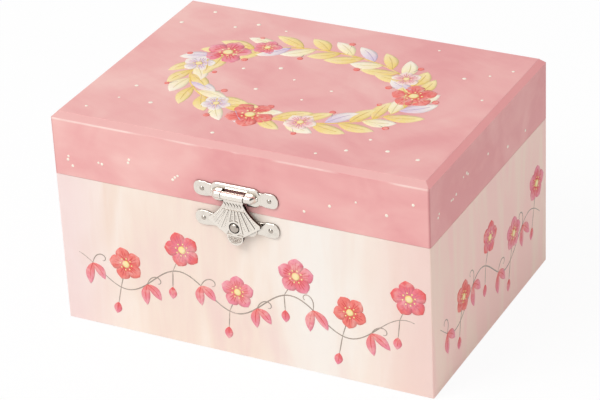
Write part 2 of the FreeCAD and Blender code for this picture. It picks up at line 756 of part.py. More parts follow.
def gear(module, teeth, face, phase):
    """A spur gear about Z from z = 0 up, with the middle of one tooth at the angle phase."""
    pitch_r = module * teeth / 2
    base_r = pitch_r * math.cos(PRESSURE)
    root_r = pitch_r - module * DEDENDUM
    tip_r = pitch_r + module * ADDENDUM

    def half_angle(radius):
        roll = math.acos(min(1.0, base_r / radius))
        return math.pi * TOOTH_SHARE / teeth + involute(PRESSURE) - involute(roll)

    flank = [root_r, pitch_r, tip_r]
    if base_r > root_r:
        flank.insert(1, base_r)
    points = []
    for n in range(teeth):
        middle = phase + 2 * math.pi * n / teeth
        for side, radii in ((-1, flank), (1, flank[::-1])):
            for radius in radii:
                angle = middle + side * half_angle(max(radius, base_r))
                points.append(V(radius * math.cos(angle), radius * math.sin(angle), 0))
    return polygon_prism(points, V(0, 0, face))


def lay_along_x(shape, x, y, z):
    """Turns a shape about Z into one about X whose former +X looks up, and moves it."""
    laid = shape.rotated(V(0, 0, 0), Y_AXIS, -90)
    laid.translate(V(x, y, z))
    return laid


# Places of the screws

def movement_screw_places():
    inset = SCREW_HEAD_R + PLATE_RIM / 2
    return [
        (PLATE_X0 + inset, PLATE_Y0 + inset),
        (PLATE_X1 - inset, PLATE_Y0 + inset),
        (PLATE_X1 - inset, PLATE_Y1 - inset),
    ]


def comb_screw_places():
    width = COMB_TEETH * COMB_PITCH
    middle = CYLINDER_X + CYLINDER_L / 2
    y = COMB_FRONT_Y + (COMB_L - COMB_LONG) / 2
    return [(middle + s * width / 4, y) for s in (-1, 1)]


# Fixed pieces of the movement

def bedplate():
    plate = block(PLATE_X0, PLATE_X1, PLATE_Y0, PLATE_Y1, FLOOR_TOP, PLATE_TOP)
    corners = [(x, y) for x in (PLATE_X0, PLATE_X1) for y in (PLATE_Y0, PLATE_Y1)]
    plate = round_upright_edges(plate, PLATE_RIM, corners)
    comb_under = TRAIN_Z - COMB_T / 2
    width = COMB_TEETH * COMB_PITCH
    x0 = CYLINDER_X + (CYLINDER_L - width) / 2
    rest = block(x0, x0 + width, COMB_FRONT_Y, COMB_TIP_Y - COMB_LONG - COMB_GAP, PLATE_TOP, comb_under)
    boss_r = SPINDLE_R + RUN + BUSH_WALL
    boss = rod(boss_r, V(0, SPINDLE_Y, PLATE_TOP), Z_AXIS, BOSS_H)
    plate = plate.fuse([rest, boss]).removeSplitter()
    plate = plate.cut(rod(SPINDLE_R + RUN, V(0, SPINDLE_Y, PLATE_TOP), Z_AXIS, BOSS_H))
    plate = plate.cut(rod(ARBOR_R + RUN, V(ARBOR_X, ARBOR_Y, FLOOR_TOP), Z_AXIS, BEDPLATE_T))
    plate = plate.cut(rod(WORM_SHAFT_R + RUN, V(WORM_X, WORM_Y, FLOOR_TOP), Z_AXIS, BEDPLATE_T))
    for place in movement_screw_places():
        plate = plate.cut(rod(SCREW_R + FIT, V(*place, FLOOR_TOP), Z_AXIS, BEDPLATE_T))
    for place in comb_screw_places():
        plate = plate.cut(rod(COMB_SCREW_R + FIT, V(*place, comb_under - COMB_SCREW_L), Z_AXIS, COMB_SCREW_L))
    return plate


def spring_cup():
    start = V(ARBOR_X, ARBOR_Y, PLATE_TOP)
    can = rod(CUP_R, start, Z_AXIS, CUP_H).cut(rod(CUP_R - CUP_WALL, start, Z_AXIS, CUP_H - CUP_WALL))
    return can.cut(rod(ARBOR_R + CLEAR, start, Z_AXIS, CUP_H))


def mainspring():
    """A flat strip wound in half circles about two centres half a pitch apart."""
    z = PLATE_TOP + CLEAR
    r0 = ARBOR_R + CLEAR + SPRING_T

    def run(extra):
        arcs = []
        for n in range(2 * SPRING_TURNS):
            side = 1 if n % 2 == 0 else -1
            cx = ARBOR_X + (0 if n % 2 == 0 else SPRING_PITCH / 2)
            r = r0 + n * SPRING_PITCH / 2 + extra
            arcs.append((V(cx + side * r, ARBOR_Y, z), V(cx, ARBOR_Y + side * r, z),
                         V(cx - side * r, ARBOR_Y, z)))
        return arcs

    inner = run(0)
    outer = run(SPRING_T)
    edges = [arc(*points) for points in inner]
    edges.append(line(inner[-1][2], outer[-1][2]))
    edges += [arc(*points[::-1]) for points in outer[::-1]]
    edges.append(line(outer[0][0], inner[0][0]))
    return outline_prism(edges, V(0, 0, SPRING_H))


def comb():
    """The steel comb: its teeth grow longer to the left."""
    width = COMB_TEETH * COMB_PITCH
    x0 = CYLINDER_X + (CYLINDER_L - width) / 2
    z0 = TRAIN_Z - COMB_T / 2
    plate = block(x0, x0 + width, COMB_FRONT_Y, COMB_TIP_Y, z0, z0 + COMB_T)
    cuts = []
    for n in range(1, COMB_TEETH):
        x = x0 + n * COMB_PITCH
        depth = COMB_LONG + (COMB_SHORT - COMB_LONG) * n / COMB_TEETH
        left = x - COMB_SLOT / 2
        cuts.append(block(left, left + COMB_SLOT, COMB_TIP_Y - depth, COMB_TIP_Y, z0, z0 + COMB_T))
    cuts += [rod(COMB_SCREW_R + FIT, V(*place, z0), Z_AXIS, COMB_T) for place in comb_screw_places()]
    return plate.cut(cuts)


def comb_screw(place):
    top = TRAIN_Z + COMB_T / 2
    shank_l = COMB_T + COMB_SCREW_L - CLEAR
    shank = rod(COMB_SCREW_R, V(*place, top - shank_l), Z_AXIS, shank_l)
    head = rod(COMB_SCREW_HEAD_R, V(*place, top), Z_AXIS, SCREW_HEAD_H)
    slot = block(place[0] - COMB_SCREW_HEAD_R, place[0] + COMB_SCREW_HEAD_R,
                 place[1] - COMB_SLOT, place[1] + COMB_SLOT,
                 top + SCREW_HEAD_H / 2, top + SCREW_HEAD_H)
    return shank.fuse(head).removeSplitter().cut(slot)


def upright(x, y0, y1, bores):
    """A bracket plate across X with a rounded head over its bores."""
    top = TRAIN_Z
    plate = block(x, x + BRACKET_T, y0 - BRACKET_W / 2, y1 + BRACKET_W / 2, PLATE_TOP, top)
    head = block(x, x + BRACKET_T, y0, y1, top, top + BRACKET_W / 2) if y1 > y0 else None
    rounds = [rod(BRACKET_W / 2, V(x, y, top), X_AXIS, BRACKET_T) for y in sorted({y0, y1})]
    plate = plate.fuse(rounds + ([head] if head else [])).removeSplitter()
    for y, radius in bores:
        plate = plate.cut(rod(radius + RUN, V(x, y, TRAIN_Z), X_AXIS, BRACKET_T))
    return plate


def cylinder_brackets():
    inner = upright(INNER_BRACKET_X, ARBOR_Y, ARBOR_Y, [(ARBOR_Y, CYLINDER_ARBOR_R)])
    bores = [(ARBOR_Y, CYLINDER_ARBOR_R), (GOVERNOR_Y, GOVERNOR_ARBOR_R)]
    return [inner, upright(OUTER_BRACKET_X, ARBOR_Y, GOVERNOR_Y, bores)]


def governor_bracket():
    """An upright with an arm over the top pivot of the worm."""
    x0 = GOVERNOR_BRACKET_X
    top = PLATE_TOP + GOVERNOR_TOP
    half = BRACKET_W / 4
    plate = block(x0, x0 + BRACKET_T, WORM_Y - half, GOVERNOR_Y + half * 2, PLATE_TOP, top)
    arm = block(x0, WORM_X + half, WORM_Y - half, WORM_Y + half, top - BRACKET_T, top)
    bracket = plate.fuse(arm).removeSplitter()
    bracket = bracket.cut(rod(GOVERNOR_ARBOR_R + RUN, V(x0, GOVERNOR_Y, TRAIN_Z), X_AXIS, BRACKET_T))
    return bracket.cut(rod(WORM_SHAFT_R + RUN, V(WORM_X, WORM_Y, top - BRACKET_T), Z_AXIS, BRACKET_T))


def movement_screw(place):
    head = rod(SCREW_HEAD_R, V(*place, KEY_RECESS - SCREW_HEAD_H), Z_AXIS, SCREW_HEAD_H)
    shank = rod(SCREW_R, V(*place, KEY_RECESS), Z_AXIS, FLOOR_T + BEDPLATE_T)
    slot = block(place[0] - SCREW_HEAD_R, place[0] + SCREW_HEAD_R, place[1] - COMB_SLOT, place[1] + COMB_SLOT,
                 KEY_RECESS - SCREW_HEAD_H, KEY_RECESS - SCREW_HEAD_H / 2)
    return head.fuse(shank).removeSplitter().cut(slot)


def write_fixed_movement():
    write("movement_bedplate", bedplate())
    write("spring_cup", spring_cup())
    write("mainspring", mainspring())
    write("comb", comb())
    write("comb_screws", *[comb_screw(place) for place in comb_screw_places()])
    write("cylinder_brackets", *cylinder_brackets())
    write("governor_bracket", governor_bracket())
    write("movement_screws", *[movement_screw(place) for place in movement_screw_places()])


# Turning pieces of the movement

def drive_wheel():
    """Spur teeth at the rim for the dancer, crown teeth below for the cylinder."""
    to_spindle = math.atan2(SPINDLE_Y - ARBOR_Y, -ARBOR_X)
    wheel = gear(SPUR_MODULE, WHEEL_TEETH, WHEEL_T, to_spindle)
    pitch = 2 * math.pi * CROWN_R / CROWN_TEETH
    depth = CROWN_MODULE * (ADDENDUM + DEDENDUM)
    root = pitch * TOOTH_SHARE / 2 + CROWN_MODULE * DEDENDUM * math.tan(PRESSURE)
    tip = pitch * TOOTH_SHARE / 2 - CROWN_MODULE * ADDENDUM * math.tan(PRESSURE)
    r0 = CROWN_R - CROWN_FACE / 2
    section = [V(r0, -root, 0), V(r0, -tip, -depth), V(r0, tip, -depth), V(r0, root, 0)]
    tooth = polygon_prism(section, V(CROWN_FACE, 0, 0))
    step = 360 / CROWN_TEETH
    teeth = [tooth.rotated(V(0, 0, 0), Z_AXIS, 180 + n * step) for n in range(CROWN_TEETH)]
    wheel = wheel.fuse(teeth)
    wheel = wheel.cut(rod(ARBOR_R + FIT, V(0, 0, -WHEEL_T), Z_AXIS, 3 * WHEEL_T))
    wheel.translate(V(ARBOR_X, ARBOR_Y, WHEEL_UNDER))
    return wheel


def winding_key():
    """A wing key: two lobes with an eye each, on a hub."""
    z = KEY_LIFT + KEY_LOBE_R
    y0 = ARBOR_Y - KEY_T / 2
    lobes = [rod(KEY_LOBE_R, V(ARBOR_X + s * KEY_LOBE_X, y0, z), Y_AXIS, KEY_T) for s in (-1, 1)]
    bridge = block(ARBOR_X - KEY_LOBE_X, ARBOR_X + KEY_LOBE_X, y0, y0 + KEY_T,
                   z - KEY_LOBE_R / 2, z + KEY_LOBE_R / 2)
    hub_top = KEY_RECESS - SCREW_HEAD_H
    hub = rod(KEY_HUB_R, V(ARBOR_X, ARBOR_Y, z - KEY_LOBE_R / 2), Z_AXIS, hub_top - z + KEY_LOBE_R / 2)
    key = hub.fuse(lobes + [bridge]).removeSplitter()
    key = key.cut([rod(KEY_EYE_R, V(ARBOR_X + s * KEY_LOBE_X, y0, z), Y_AXIS, KEY_T) for s in (-1, 1)])
    return key.cut(rod(ARBOR_R + FIT, V(ARBOR_X, ARBOR_Y, z), Z_AXIS, KEY_RECESS))


def write_winding():
    bottom = KEY_LIFT + KEY_LOBE_R
    top = WHEEL_UNDER + WHEEL_T + SHEET_T
    write("winding_arbor", rod(ARBOR_R, V(ARBOR_X, ARBOR_Y, bottom), Z_AXIS, top - bottom))
    write("drive_wheel", drive_wheel())
    write("winding_key", winding_key())


def pin_cylinder():
    """The tune cylinder: a capped tube with pins spread over the tracks of the comb."""
    start = V(CYLINDER_X, ARBOR_Y, TRAIN_Z)
    barrel = rod(CYLINDER_R, start, X_AXIS, CYLINDER_L)
    hollow = V(CYLINDER_X + CYLINDER_WALL, ARBOR_Y, TRAIN_Z)
    barrel = barrel.cut(rod(CYLINDER_R - CYLINDER_WALL, hollow, X_AXIS, CYLINDER_L - 2 * CYLINDER_WALL))
    x0 = CYLINDER_X + (CYLINDER_L - COMB_TEETH * COMB_PITCH) / 2
    pins = []
    for n in range(CYLINDER_PINS):
        x = x0 + (n % COMB_TEETH + 0.5) * COMB_PITCH
        z = TRAIN_Z + CYLINDER_R - CYLINDER_WALL / 2
        pin = block(x - PIN_W / 2, x + PIN_W / 2, ARBOR_Y - PIN_W / 2, ARBOR_Y + PIN_W / 2,
                    z, TRAIN_Z + CYLINDER_R + PIN_RISE - PIN_W / 10)
        pins.append(pin.rotated(V(x, ARBOR_Y, TRAIN_Z), X_AXIS, n * GOLDEN_ANGLE))
    barrel = barrel.fuse(pins)
    return barrel.cut(rod(CYLINDER_ARBOR_R + FIT, start, X_AXIS, CYLINDER_L))


def write_cylinder():
    end = PINION_X + GEAR_FACE / 2 + CLEAR
    arbor = rod(CYLINDER_ARBOR_R, V(OUTER_BRACKET_X, ARBOR_Y, TRAIN_Z), X_AXIS, end - OUTER_BRACKET_X)
    write("cylinder_arbor", arbor)
    write("pin_cylinder", pin_cylinder())
    bore = rod(CYLINDER_ARBOR_R + FIT, V(0, 0, 0), Z_AXIS, GEAR_FACE)
    half_pitch = math.pi / CROWN_PINION_TEETH
    pinion = gear(CROWN_MODULE, CROWN_PINION_TEETH, GEAR_FACE, half_pitch).cut(bore)
    write("cylinder_pinion", lay_along_x(pinion, PINION_X + GEAR_FACE / 2, ARBOR_Y, TRAIN_Z))
    to_governor = math.pi / 2
    wheel = gear(GOVERNOR_MODULE, CYLINDER_GEAR_TEETH, GEAR_FACE, to_governor).cut(bore)
    write("cylinder_gear", lay_along_x(wheel, GEAR_X + GEAR_FACE, ARBOR_Y, TRAIN_Z))


def write_governor_wheel():
    x1 = GEAR_X + GEAR_FACE
    arbor = rod(GOVERNOR_ARBOR_R, V(GOVERNOR_BRACKET_X, GOVERNOR_Y, TRAIN_Z), X_AXIS, x1 - GOVERNOR_BRACKET_X)
    write("governor_arbor", arbor)
    bore = rod(GOVERNOR_ARBOR_R + FIT, V(0, 0, 0), Z_AXIS, GEAR_FACE)
    to_cylinder = -math.pi / 2
    half_pitch = math.pi / GOVERNOR_PINION_TEETH
    pinion = gear(GOVERNOR_MODULE, GOVERNOR_PINION_TEETH, GEAR_FACE, to_cylinder + half_pitch).cut(bore)
    write("governor_pinion", lay_along_x(pinion, x1, GOVERNOR_Y, TRAIN_Z))
    to_worm = -math.pi / 2
    wheel = gear(GOVERNOR_MODULE, WORM_WHEEL_TEETH, GEAR_FACE, to_worm).cut(bore)
    write("worm_wheel", lay_along_x(wheel, WORM_X + GEAR_FACE / 2, GOVERNOR_Y, TRAIN_Z))


def worm():
    """A single start worm whose thread gap looks at the worm wheel at the height of its axis."""
    lead = math.pi * GOVERNOR_MODULE
    root_r = WORM_PITCH_R - GOVERNOR_MODULE * DEDENDUM
    turns = round(WORM_L / lead)
    height = turns * lead
    thick = lead * TOOTH_SHARE
    rise = math.tan(PRESSURE)
    foot = thick / 2 + GOVERNOR_MODULE * DEDENDUM * rise
    tip = thick / 2 - GOVERNOR_MODULE * ADDENDUM * rise
    helix = Part.makeHelix(lead, height, WORM_PITCH_R)
    inside = root_r - FIT
    section = Part.makePolygon([V(inside, 0, -foot), V(WORM_TIP_R, 0, -tip), V(WORM_TIP_R, 0, tip),
                                V(inside, 0, foot), V(inside, 0, -foot)])
    thread = Part.Wire(helix.Edges).makePipeShell([section], True, True)
    thread = thread.rotated(V(0, 0, 0), Z_AXIS, 90 + 180 * ((turns + 1) % 2))
    core_z = -lead
    core = rod(root_r, V(0, 0, core_z), Z_AXIS, height + 2 * lead)
    body = core.fuse(thread)
    body.translate(V(WORM_X, WORM_Y, TRAIN_Z - height / 2))
    z0 = FLOOR_TOP + CLEAR
    z1 = PLATE_TOP + GOVERNOR_TOP - CLEAR
    return body.fuse(rod(WORM_SHAFT_R, V(WORM_X, WORM_Y, z0), Z_AXIS, z1 - z0))


def air_fly():
    """Two thin vanes on a hub."""
    z0 = PLATE_TOP + FLY_Z
    hub_r = WORM_SHAFT_R + SHEET_T
    hub = rod(hub_r, V(WORM_X, WORM_Y, z0), Z_AXIS, FLY_H)
    vane = block(WORM_X - FLY_R, WORM_X + FLY_R, WORM_Y - VANE_T / 2, WORM_Y + VANE_T / 2, z0, z0 + FLY_H)
    fly = hub.fuse(vane).removeSplitter()
    return fly.cut(rod(WORM_SHAFT_R + FIT, V(WORM_X, WORM_Y, z0), Z_AXIS, FLY_H))


def stop_wire():
    """A bent wire: a rod up to the lid, and a foot over the fly."""
    x = WIRE_X
    y = WIRE_Y
    tip = WORM_Y + FLY_R * WIRE_TIP_SHARE
    b = WIRE_BEND_R
    k = b * (1 - math.sqrt(0.5))
    path = Part.Wire([
        line(V(x, tip, WIRE_Z), V(x, y - b, WIRE_Z)),
        arc(V(x, y - b, WIRE_Z), V(x, y - k, WIRE_Z + k), V(x, y, WIRE_Z + b)),
        line(V(x, y, WIRE_Z + b), V(x, y, SURROUND_Z - CLEAR)),
    ])
    ring = Part.Wire([Part.makeCircle(WIRE_R, V(x, tip, WIRE_Z), Y_AXIS)])
    return path.makePipeShell([ring], True, True)


# Figure on the spindle


def turned(profile):
    """A solid turned about Z through a smooth profile of shares that starts and ends on the axis."""
    points = [V(r * DANCER_H, 0, z * DANCER_H) for r, z in profile]
    curve = Part.BSplineCurve()
    curve.interpolate(points)
    axis = line(points[-1], points[0])
    return Part.Face(Part.Wire([curve.toShape(), axis])).revolve(V(0, 0, 0), Z_AXIS, 360)


def on_figure(x, y, z):
    """A place on the figure, given as shares of its height."""
    return V(x * DANCER_H, y * DANCER_H, z * DANCER_H)


def dancer_leg(side):
    leg = turned(LEG_PROFILE)
    leg.translate(on_figure(side * LEG_X, 0, 0))
    return leg


def dancer_arm(side):
    """A bent arm that rises from the shoulder to over the head."""
    shoulder = on_figure(side * SHOULDER_X, 0, SHOULDER_Z)
    hand = on_figure(side * HAND_X, ARM_Y, HAND_Z)
    radius = ARM_R * DANCER_H
    path = Part.Arc(shoulder, on_figure(side * ELBOW_X, ARM_Y, ELBOW_Z), hand)
    start = path.tangent(path.FirstParameter)[0]
    ring = Part.Wire([Part.makeCircle(radius, shoulder, start)])
    arm = Part.Wire([path.toShape()]).makePipeShell([ring], True, True)
    return [arm, Part.makeSphere(radius * SHOULDER_SWELL, shoulder), Part.makeSphere(radius, hand)]


def dancer_figure():
    head = Part.makeSphere(HEAD_R * DANCER_H, on_figure(0, 0, HEAD_Z))
    bun = Part.makeSphere(BUN_R * DANCER_H, on_figure(0, BUN_Y, BUN_Z))
    limbs = [dancer_leg(-1), dancer_leg(1)] + dancer_arm(-1) + dancer_arm(1)
    figure = turned(TORSO_PROFILE).fuse([head, bun] + limbs).removeSplitter()
    figure.translate(V(0, SPINDLE_Y, STAGE_Z))
    return figure


def tutu():
    """A flat gathered skirt: a thin ring whose folds grow towards the hem."""
    waist_r = WAIST_R * DANCER_H
    z = STAGE_Z + WAIST_Z * DANCER_H
    steps = 4 * TUTU_FOLDS

    def ring(radius, height, wave):
        points = []
        for n in range(steps):
            angle = 2 * math.pi * n / steps
            swell = wave * math.sin(angle * TUTU_FOLDS)
            points.append(V(radius * math.cos(angle), SPINDLE_Y + radius * math.sin(angle), height + swell))
        return Part.makePolygon(points + [points[0]])

    rings = [ring(waist_r, z, 0), ring(TUTU_R, z - TUTU_DROP, TUTU_WAVE),
             ring(TUTU_R, z - TUTU_DROP + TUTU_T, TUTU_WAVE), ring(waist_r, z + TUTU_T, 0)]
    shell = Part.makeLoft(rings, False, True, True)
    return Part.Solid(Part.Shell(shell.Faces))


def write_dancer():
    foot = PLATE_TOP + RUN
    top = TURNTABLE_Z + TURNTABLE_T - SHEET_T
    write("dancer_spindle", rod(SPINDLE_R, V(0, SPINDLE_Y, foot), Z_AXIS, top - foot))
    from_wheel = math.atan2(ARBOR_Y - SPINDLE_Y, ARBOR_X)
    pinion = gear(SPUR_MODULE, SPINDLE_TEETH, WHEEL_T, from_wheel + math.pi / SPINDLE_TEETH)
    pinion = pinion.cut(rod(SPINDLE_R + FIT, V(0, 0, 0), Z_AXIS, WHEEL_T))
    pinion.translate(V(0, SPINDLE_Y, WHEEL_UNDER + CLEAR))
    write("spindle_pinion", pinion)
    bush = tube(SPINDLE_R + RUN + BUSH_WALL, SPINDLE_R + RUN, V(0, SPINDLE_Y, DECK_BOTTOM), Z_AXIS, DECK_T)
    flange = tube(BUSH_FLANGE_R, SPINDLE_R + RUN, V(0, SPINDLE_Y, DECK_TOP), Z_AXIS, BUSH_FLANGE_T)
    write("spindle_bush", bush.fuse(flange).removeSplitter())
    table = rod(TURNTABLE_R, V(0, SPINDLE_Y, TURNTABLE_Z), Z_AXIS, TURNTABLE_T)
    rim = [edge for edge in table.Edges if all(abs(v.Z - STAGE_Z) < 1e-6 for v in edge.Vertexes)]
    table = table.makeFillet(TURNTABLE_T / 2, rim)
    socket = rod(SPINDLE_R + FIT, V(0, SPINDLE_Y, TURNTABLE_Z), Z_AXIS, top - TURNTABLE_Z)
    write("turntable", table.cut(socket))
    write("dancer_figure", dancer_figure())
    write("dancer_tutu", tutu())


def write_deck_cleats():
    cleats = []
    for side in (-1, 1):
        xs = sorted((side * (IN_X - FIT), side * (IN_X - FIT - CLEAT)))
        cleats.append(block(*xs, DECK_FRONT + RISER_T, IN_Y - FIT, DECK_BOTTOM - CLEAT, DECK_BOTTOM))
    write("deck_cleats", *cleats)


os.makedirs("parts", exist_ok=True)
write_base_boards()
write_lid_boards()
write_mirror()
write_interior()
write_deck_cleats()
write_hinges()
write_clasp()
write_fixed_movement()
write_winding()
write_cylinder()
write_governor_wheel()
write("governor_worm", worm())
write("air_fly", air_fly())
write("stop_wire", stop_wire())
write_dancer()
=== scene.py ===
"""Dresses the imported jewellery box: camera, light, finishes, painted decoration, soft pieces and dancer."""

import json
import random
from math import atan2, copysign, cos, hypot, pi, radians, sin, sqrt

import bmesh
import bpy
from mathutils import Matrix, Vector


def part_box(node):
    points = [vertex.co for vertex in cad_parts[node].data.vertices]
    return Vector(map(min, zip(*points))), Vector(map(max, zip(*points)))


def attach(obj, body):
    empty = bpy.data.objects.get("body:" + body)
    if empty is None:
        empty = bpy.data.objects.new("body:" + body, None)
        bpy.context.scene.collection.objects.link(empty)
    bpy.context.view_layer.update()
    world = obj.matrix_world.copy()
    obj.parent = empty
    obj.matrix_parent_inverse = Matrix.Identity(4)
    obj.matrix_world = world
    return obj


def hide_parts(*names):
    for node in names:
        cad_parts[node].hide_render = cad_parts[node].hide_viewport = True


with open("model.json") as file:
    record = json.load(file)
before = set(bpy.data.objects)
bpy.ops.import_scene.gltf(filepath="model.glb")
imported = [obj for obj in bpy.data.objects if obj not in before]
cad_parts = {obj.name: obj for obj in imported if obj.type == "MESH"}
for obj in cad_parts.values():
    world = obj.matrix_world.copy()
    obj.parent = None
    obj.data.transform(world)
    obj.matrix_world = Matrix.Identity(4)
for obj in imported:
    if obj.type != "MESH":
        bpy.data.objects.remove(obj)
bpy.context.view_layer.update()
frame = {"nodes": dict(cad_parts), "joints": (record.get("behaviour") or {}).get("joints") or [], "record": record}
MM = 0.001


def span(*names):
    """Lowest and highest corner, in millimetres, of some nodes taken together."""
    boxes = [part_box(name) for name in names]
    low = Vector([min(box[0][axis] for box in boxes) for axis in range(3)])
    high = Vector([max(box[1][axis] for box in boxes) for axis in range(3)])
    return low / MM, high / MM


# Places read from the frame, in millimetres like all lengths below
BASE_LOW, BASE_HIGH = span("base_front", "base_back", "base_left", "base_right")
LID_LOW, LID_HIGH = span("lid_front", "lid_back", "lid_left", "lid_right", "lid_top")
FRONT_LOW, FRONT_HIGH = span("base_front")
FIGURE_LOW, FIGURE_HIGH = span("dancer_figure")
SPINDLE_LOW, SPINDLE_HIGH = span("dancer_spindle")
WALL = FRONT_HIGH.y - FRONT_LOW.y
MIDDLE_Y = (BASE_LOW.y + BASE_HIGH.y) / 2
HALF_Y = BASE_HIGH.y - MIDDLE_Y
INNER_X = BASE_HIGH.x - WALL
INNER_Y = HALF_Y - WALL
FLOOR_UNDER = span("base_floor")[0].z
CEILING = span("lid_top")[0].z
HASP_AXIS_Z = next(joint["pos_m"][2] for joint in frame["joints"] if joint["name"] == "hasp_flip") / MM

# Camera
AZIMUTH = radians(27.769)
ELEVATION = radians(28.593)
ROLL = radians(-2.862)
DISTANCE = 1021.7
AIM = Vector((-2.85, MIDDLE_Y, 38.54))
LENS = 158.1
NEAREST = 50.0

# Light
WHITE = (1, 1, 1, 1)
AMBIENT = 0.635
KEY_FROM = Vector((-0.35, -0.55, 0.75))
KEY_DISTANCE = 2000.0
KEY_SIZE = 900.0
KEY_POWER = 18.6
DARK_WAY = Vector((1.0, -0.2, 0.2)).normalized()
DARK_FROM = 0.62
DARK_FULL = 0.8
DARK_LEVEL = 0.05
FLOOR_SIZE = 8000.0
FLOOR_GREY = (0.95, 0.95, 0.95, 1)
FLOOR_WHITE = 0.92
FLOOR_GAP = 0.2

# Finishes
NOISE_RANGE = (0.3, 0.7)
PAPER = {"Roughness": 0.55, "Specular_IOR_Level": 0.3}
PAPER_ROUGH = (0.48, 0.62)
PAPER_GRAIN = 0.025
CLOUD_SHARE = 0.62
SWEEP_SHARE = 0.3
STREAK_SHARE = 0.08
LID_STOPS = (0.34, 0.45, 0.55, 0.68)
BASE_STOPS = (0.36, 0.47, 0.57, 0.68)
LID_FADE = 0.001
BEVEL = 2.3
BEVEL_EDGE = 0.1
# share of the chamfer's painted light and shade
BEVEL_PAINTED_LIGHT_SHARE = 0.75
# pale line at the chamfer's lower edge: wear and a painted highlight
WORN_HIGHLIGHT_REACH = (0.1, 0.7)
WORN_HIGHLIGHT_SHARE = 0.8
CORNER_REACH = (0.25, 1.0)
CORNER_SHARE = 0.55
PALE_X = 32.0
PALE_SHARE = 0.85
LILAC_SHARE = 0.65
BLUSH_SHARE = 0.75
WASH_REACH = 32.0
RIGHT_REACH = (0.6, 0.1)
RIGHT_SHARE = 0.85
LINING_EDGE = 0.03
PILE_SHARE = 0.6
MIRROR_RIM = 1.6
# painted shade in the metals' recesses: how far it reaches, its ramp stops and its middle tone
CREASE_SHADE_REACH = 2.2
CREASE_SHADE_STOPS = (0.5, 0.6, 0.78)
CREASE_SHADE_MIDDLE = 0.45
SKIN_DEPTH = 0.8
NODE_FINISHES = {"clasp_hasp": "stamped", "clasp_plate_nails": "nail", "clasp_catch_nails": "nail",
                 "clasp_stud": "nail"}

# Soft pieces
ROLL_COUNT = 4
ROLL_SLACK = 0.6
ROLL_CAP = 1.1
ROLL_PRESSURE = 4.0
ROLL_FRAMES = 20
ROLL_SQUARE = 0.62
ROLL_END_POWER = 5.0
ROLL_END_SIZE = 0.35
ROLL_STATIONS = 36
ROLL_SIDES = 28
SIM_SCALE = 0.01
FELT_COLUMNS = 60
FELT_RANKS = 36
FELT_PLAY = 0.2
FELT_WANDER = 0.3
FELT_EDGE_WAVES = (0.31, 0.23)
FELT_EDGE_POWER = 7
FELT_WEAR_WAVES = (0.19, 0.27)
FELT_RIM = 0.7

# Dancer
FIGURE_TALL = FIGURE_HIGH.z - FIGURE_LOW.z
SPINDLE_Y = (SPINDLE_LOW.y + SPINDLE_HIGH.y) / 2
HEAD_R = 0.07 * FIGURE_TALL
HEAD = Vector((0, SPINDLE_Y, FIGURE_LOW.z + 0.775 * FIGURE_TALL))
CROWN = Vector((0, 0.55, 0.83)).normalized()
BUN_R = 0.036 * FIGURE_TALL
BUN = Vector((0, SPINDLE_Y + 0.035 * FIGURE_TALL, FIGURE_LOW.z + 0.85 * FIGURE_TALL))
HAIR_T = 0.14
HAIR_COMB = 0.035
HAIR_LOCKS = 15
HAIR_LINE = 0.05
HAIR_FROM = 6.0
HAIR_REACH = 92.0
HAIR_STEPS = 14
HAIR_SIDES = 60
COIL_STEPS = 120
COIL_TURNS = 3.2
COIL_CLOSE = 1.35
COIL_ROUND = 1.5
COIL_RISE = 1.25
COIL_SUNK = 0.35
COIL_R = 0.42
COIL_TAPER = 0.3
RIBBON_R = 0.26
RIBBON_DROP = 0.62
RIBBON_STEPS = 40
TUBE_SIDES = 10
TUBE_ENDS = 8
TUBE_START = Vector((0.3, 0.2, 1)).normalized()
ANKLE_SHARE = 0.075
HIP_SHARE = 0.41
WAIST_SHARE = 0.086
NECK_SHARE = 0.6
NECK_DIP = 0.35
ARM_SHARE = 0.079
TUTU_LAYERS = 3
TUTU_STEPS = 9
TUTU_SIDES = 216
TUTU_FOLDS = 15
TUTU_PLAY = 0.15
TUTU_STEP = 0.9
TUTU_RISE = 1.35
TUTU_LIFT = 0.42
TUTU_LIFT_IN = 0.4
TUTU_SAG = 0.55
TUTU_WAVE = 0.62
TUTU_WAVE_POWER = 1.2
TUTU_TWIST = 1.9
TUTU_RIPPLE = 0.3
TUTU_SCALLOP = 0.12
TUTU_SCALLOPS = 5
TULLE_T = 0.12
BAND_R = 0.34
BAND_RISE = 2.5
BAND_STEPS = 60

# Dancer's face, from its middle
CHEEK = Vector((1.25, -0.62))
CHEEK_R = 0.42
EYE = Vector((0.86, 0.02))
EYE_HALF_W = 0.36
EYE_SAG = 0.16
LID_LINE = 0.1
LASHES = (1, 4, 7)
LASH_L = 0.16
LASH_LEAN = 0.05
LASH_SPREAD = 0.035
LASH_W = 0.05
BROW_PLACE = Vector((0.86, 0.56))
BROW_HALF_W = 0.4
BROW_ARCH = 0.14
BROW_W = 0.09
UPPER_LIP = {"place": (-0.3, -1.0), "length": 0.6, "width": 0.2, "bend": -0.06}
LOWER_LIP = {"place": (-0.24, -1.12), "length": 0.48, "width": 0.18, "bend": -0.05}
NOSE = Vector((0, -0.42))
NOSE_HALF_W = 0.13
NOSE_W = 0.06
ARCH_STEPS = 8

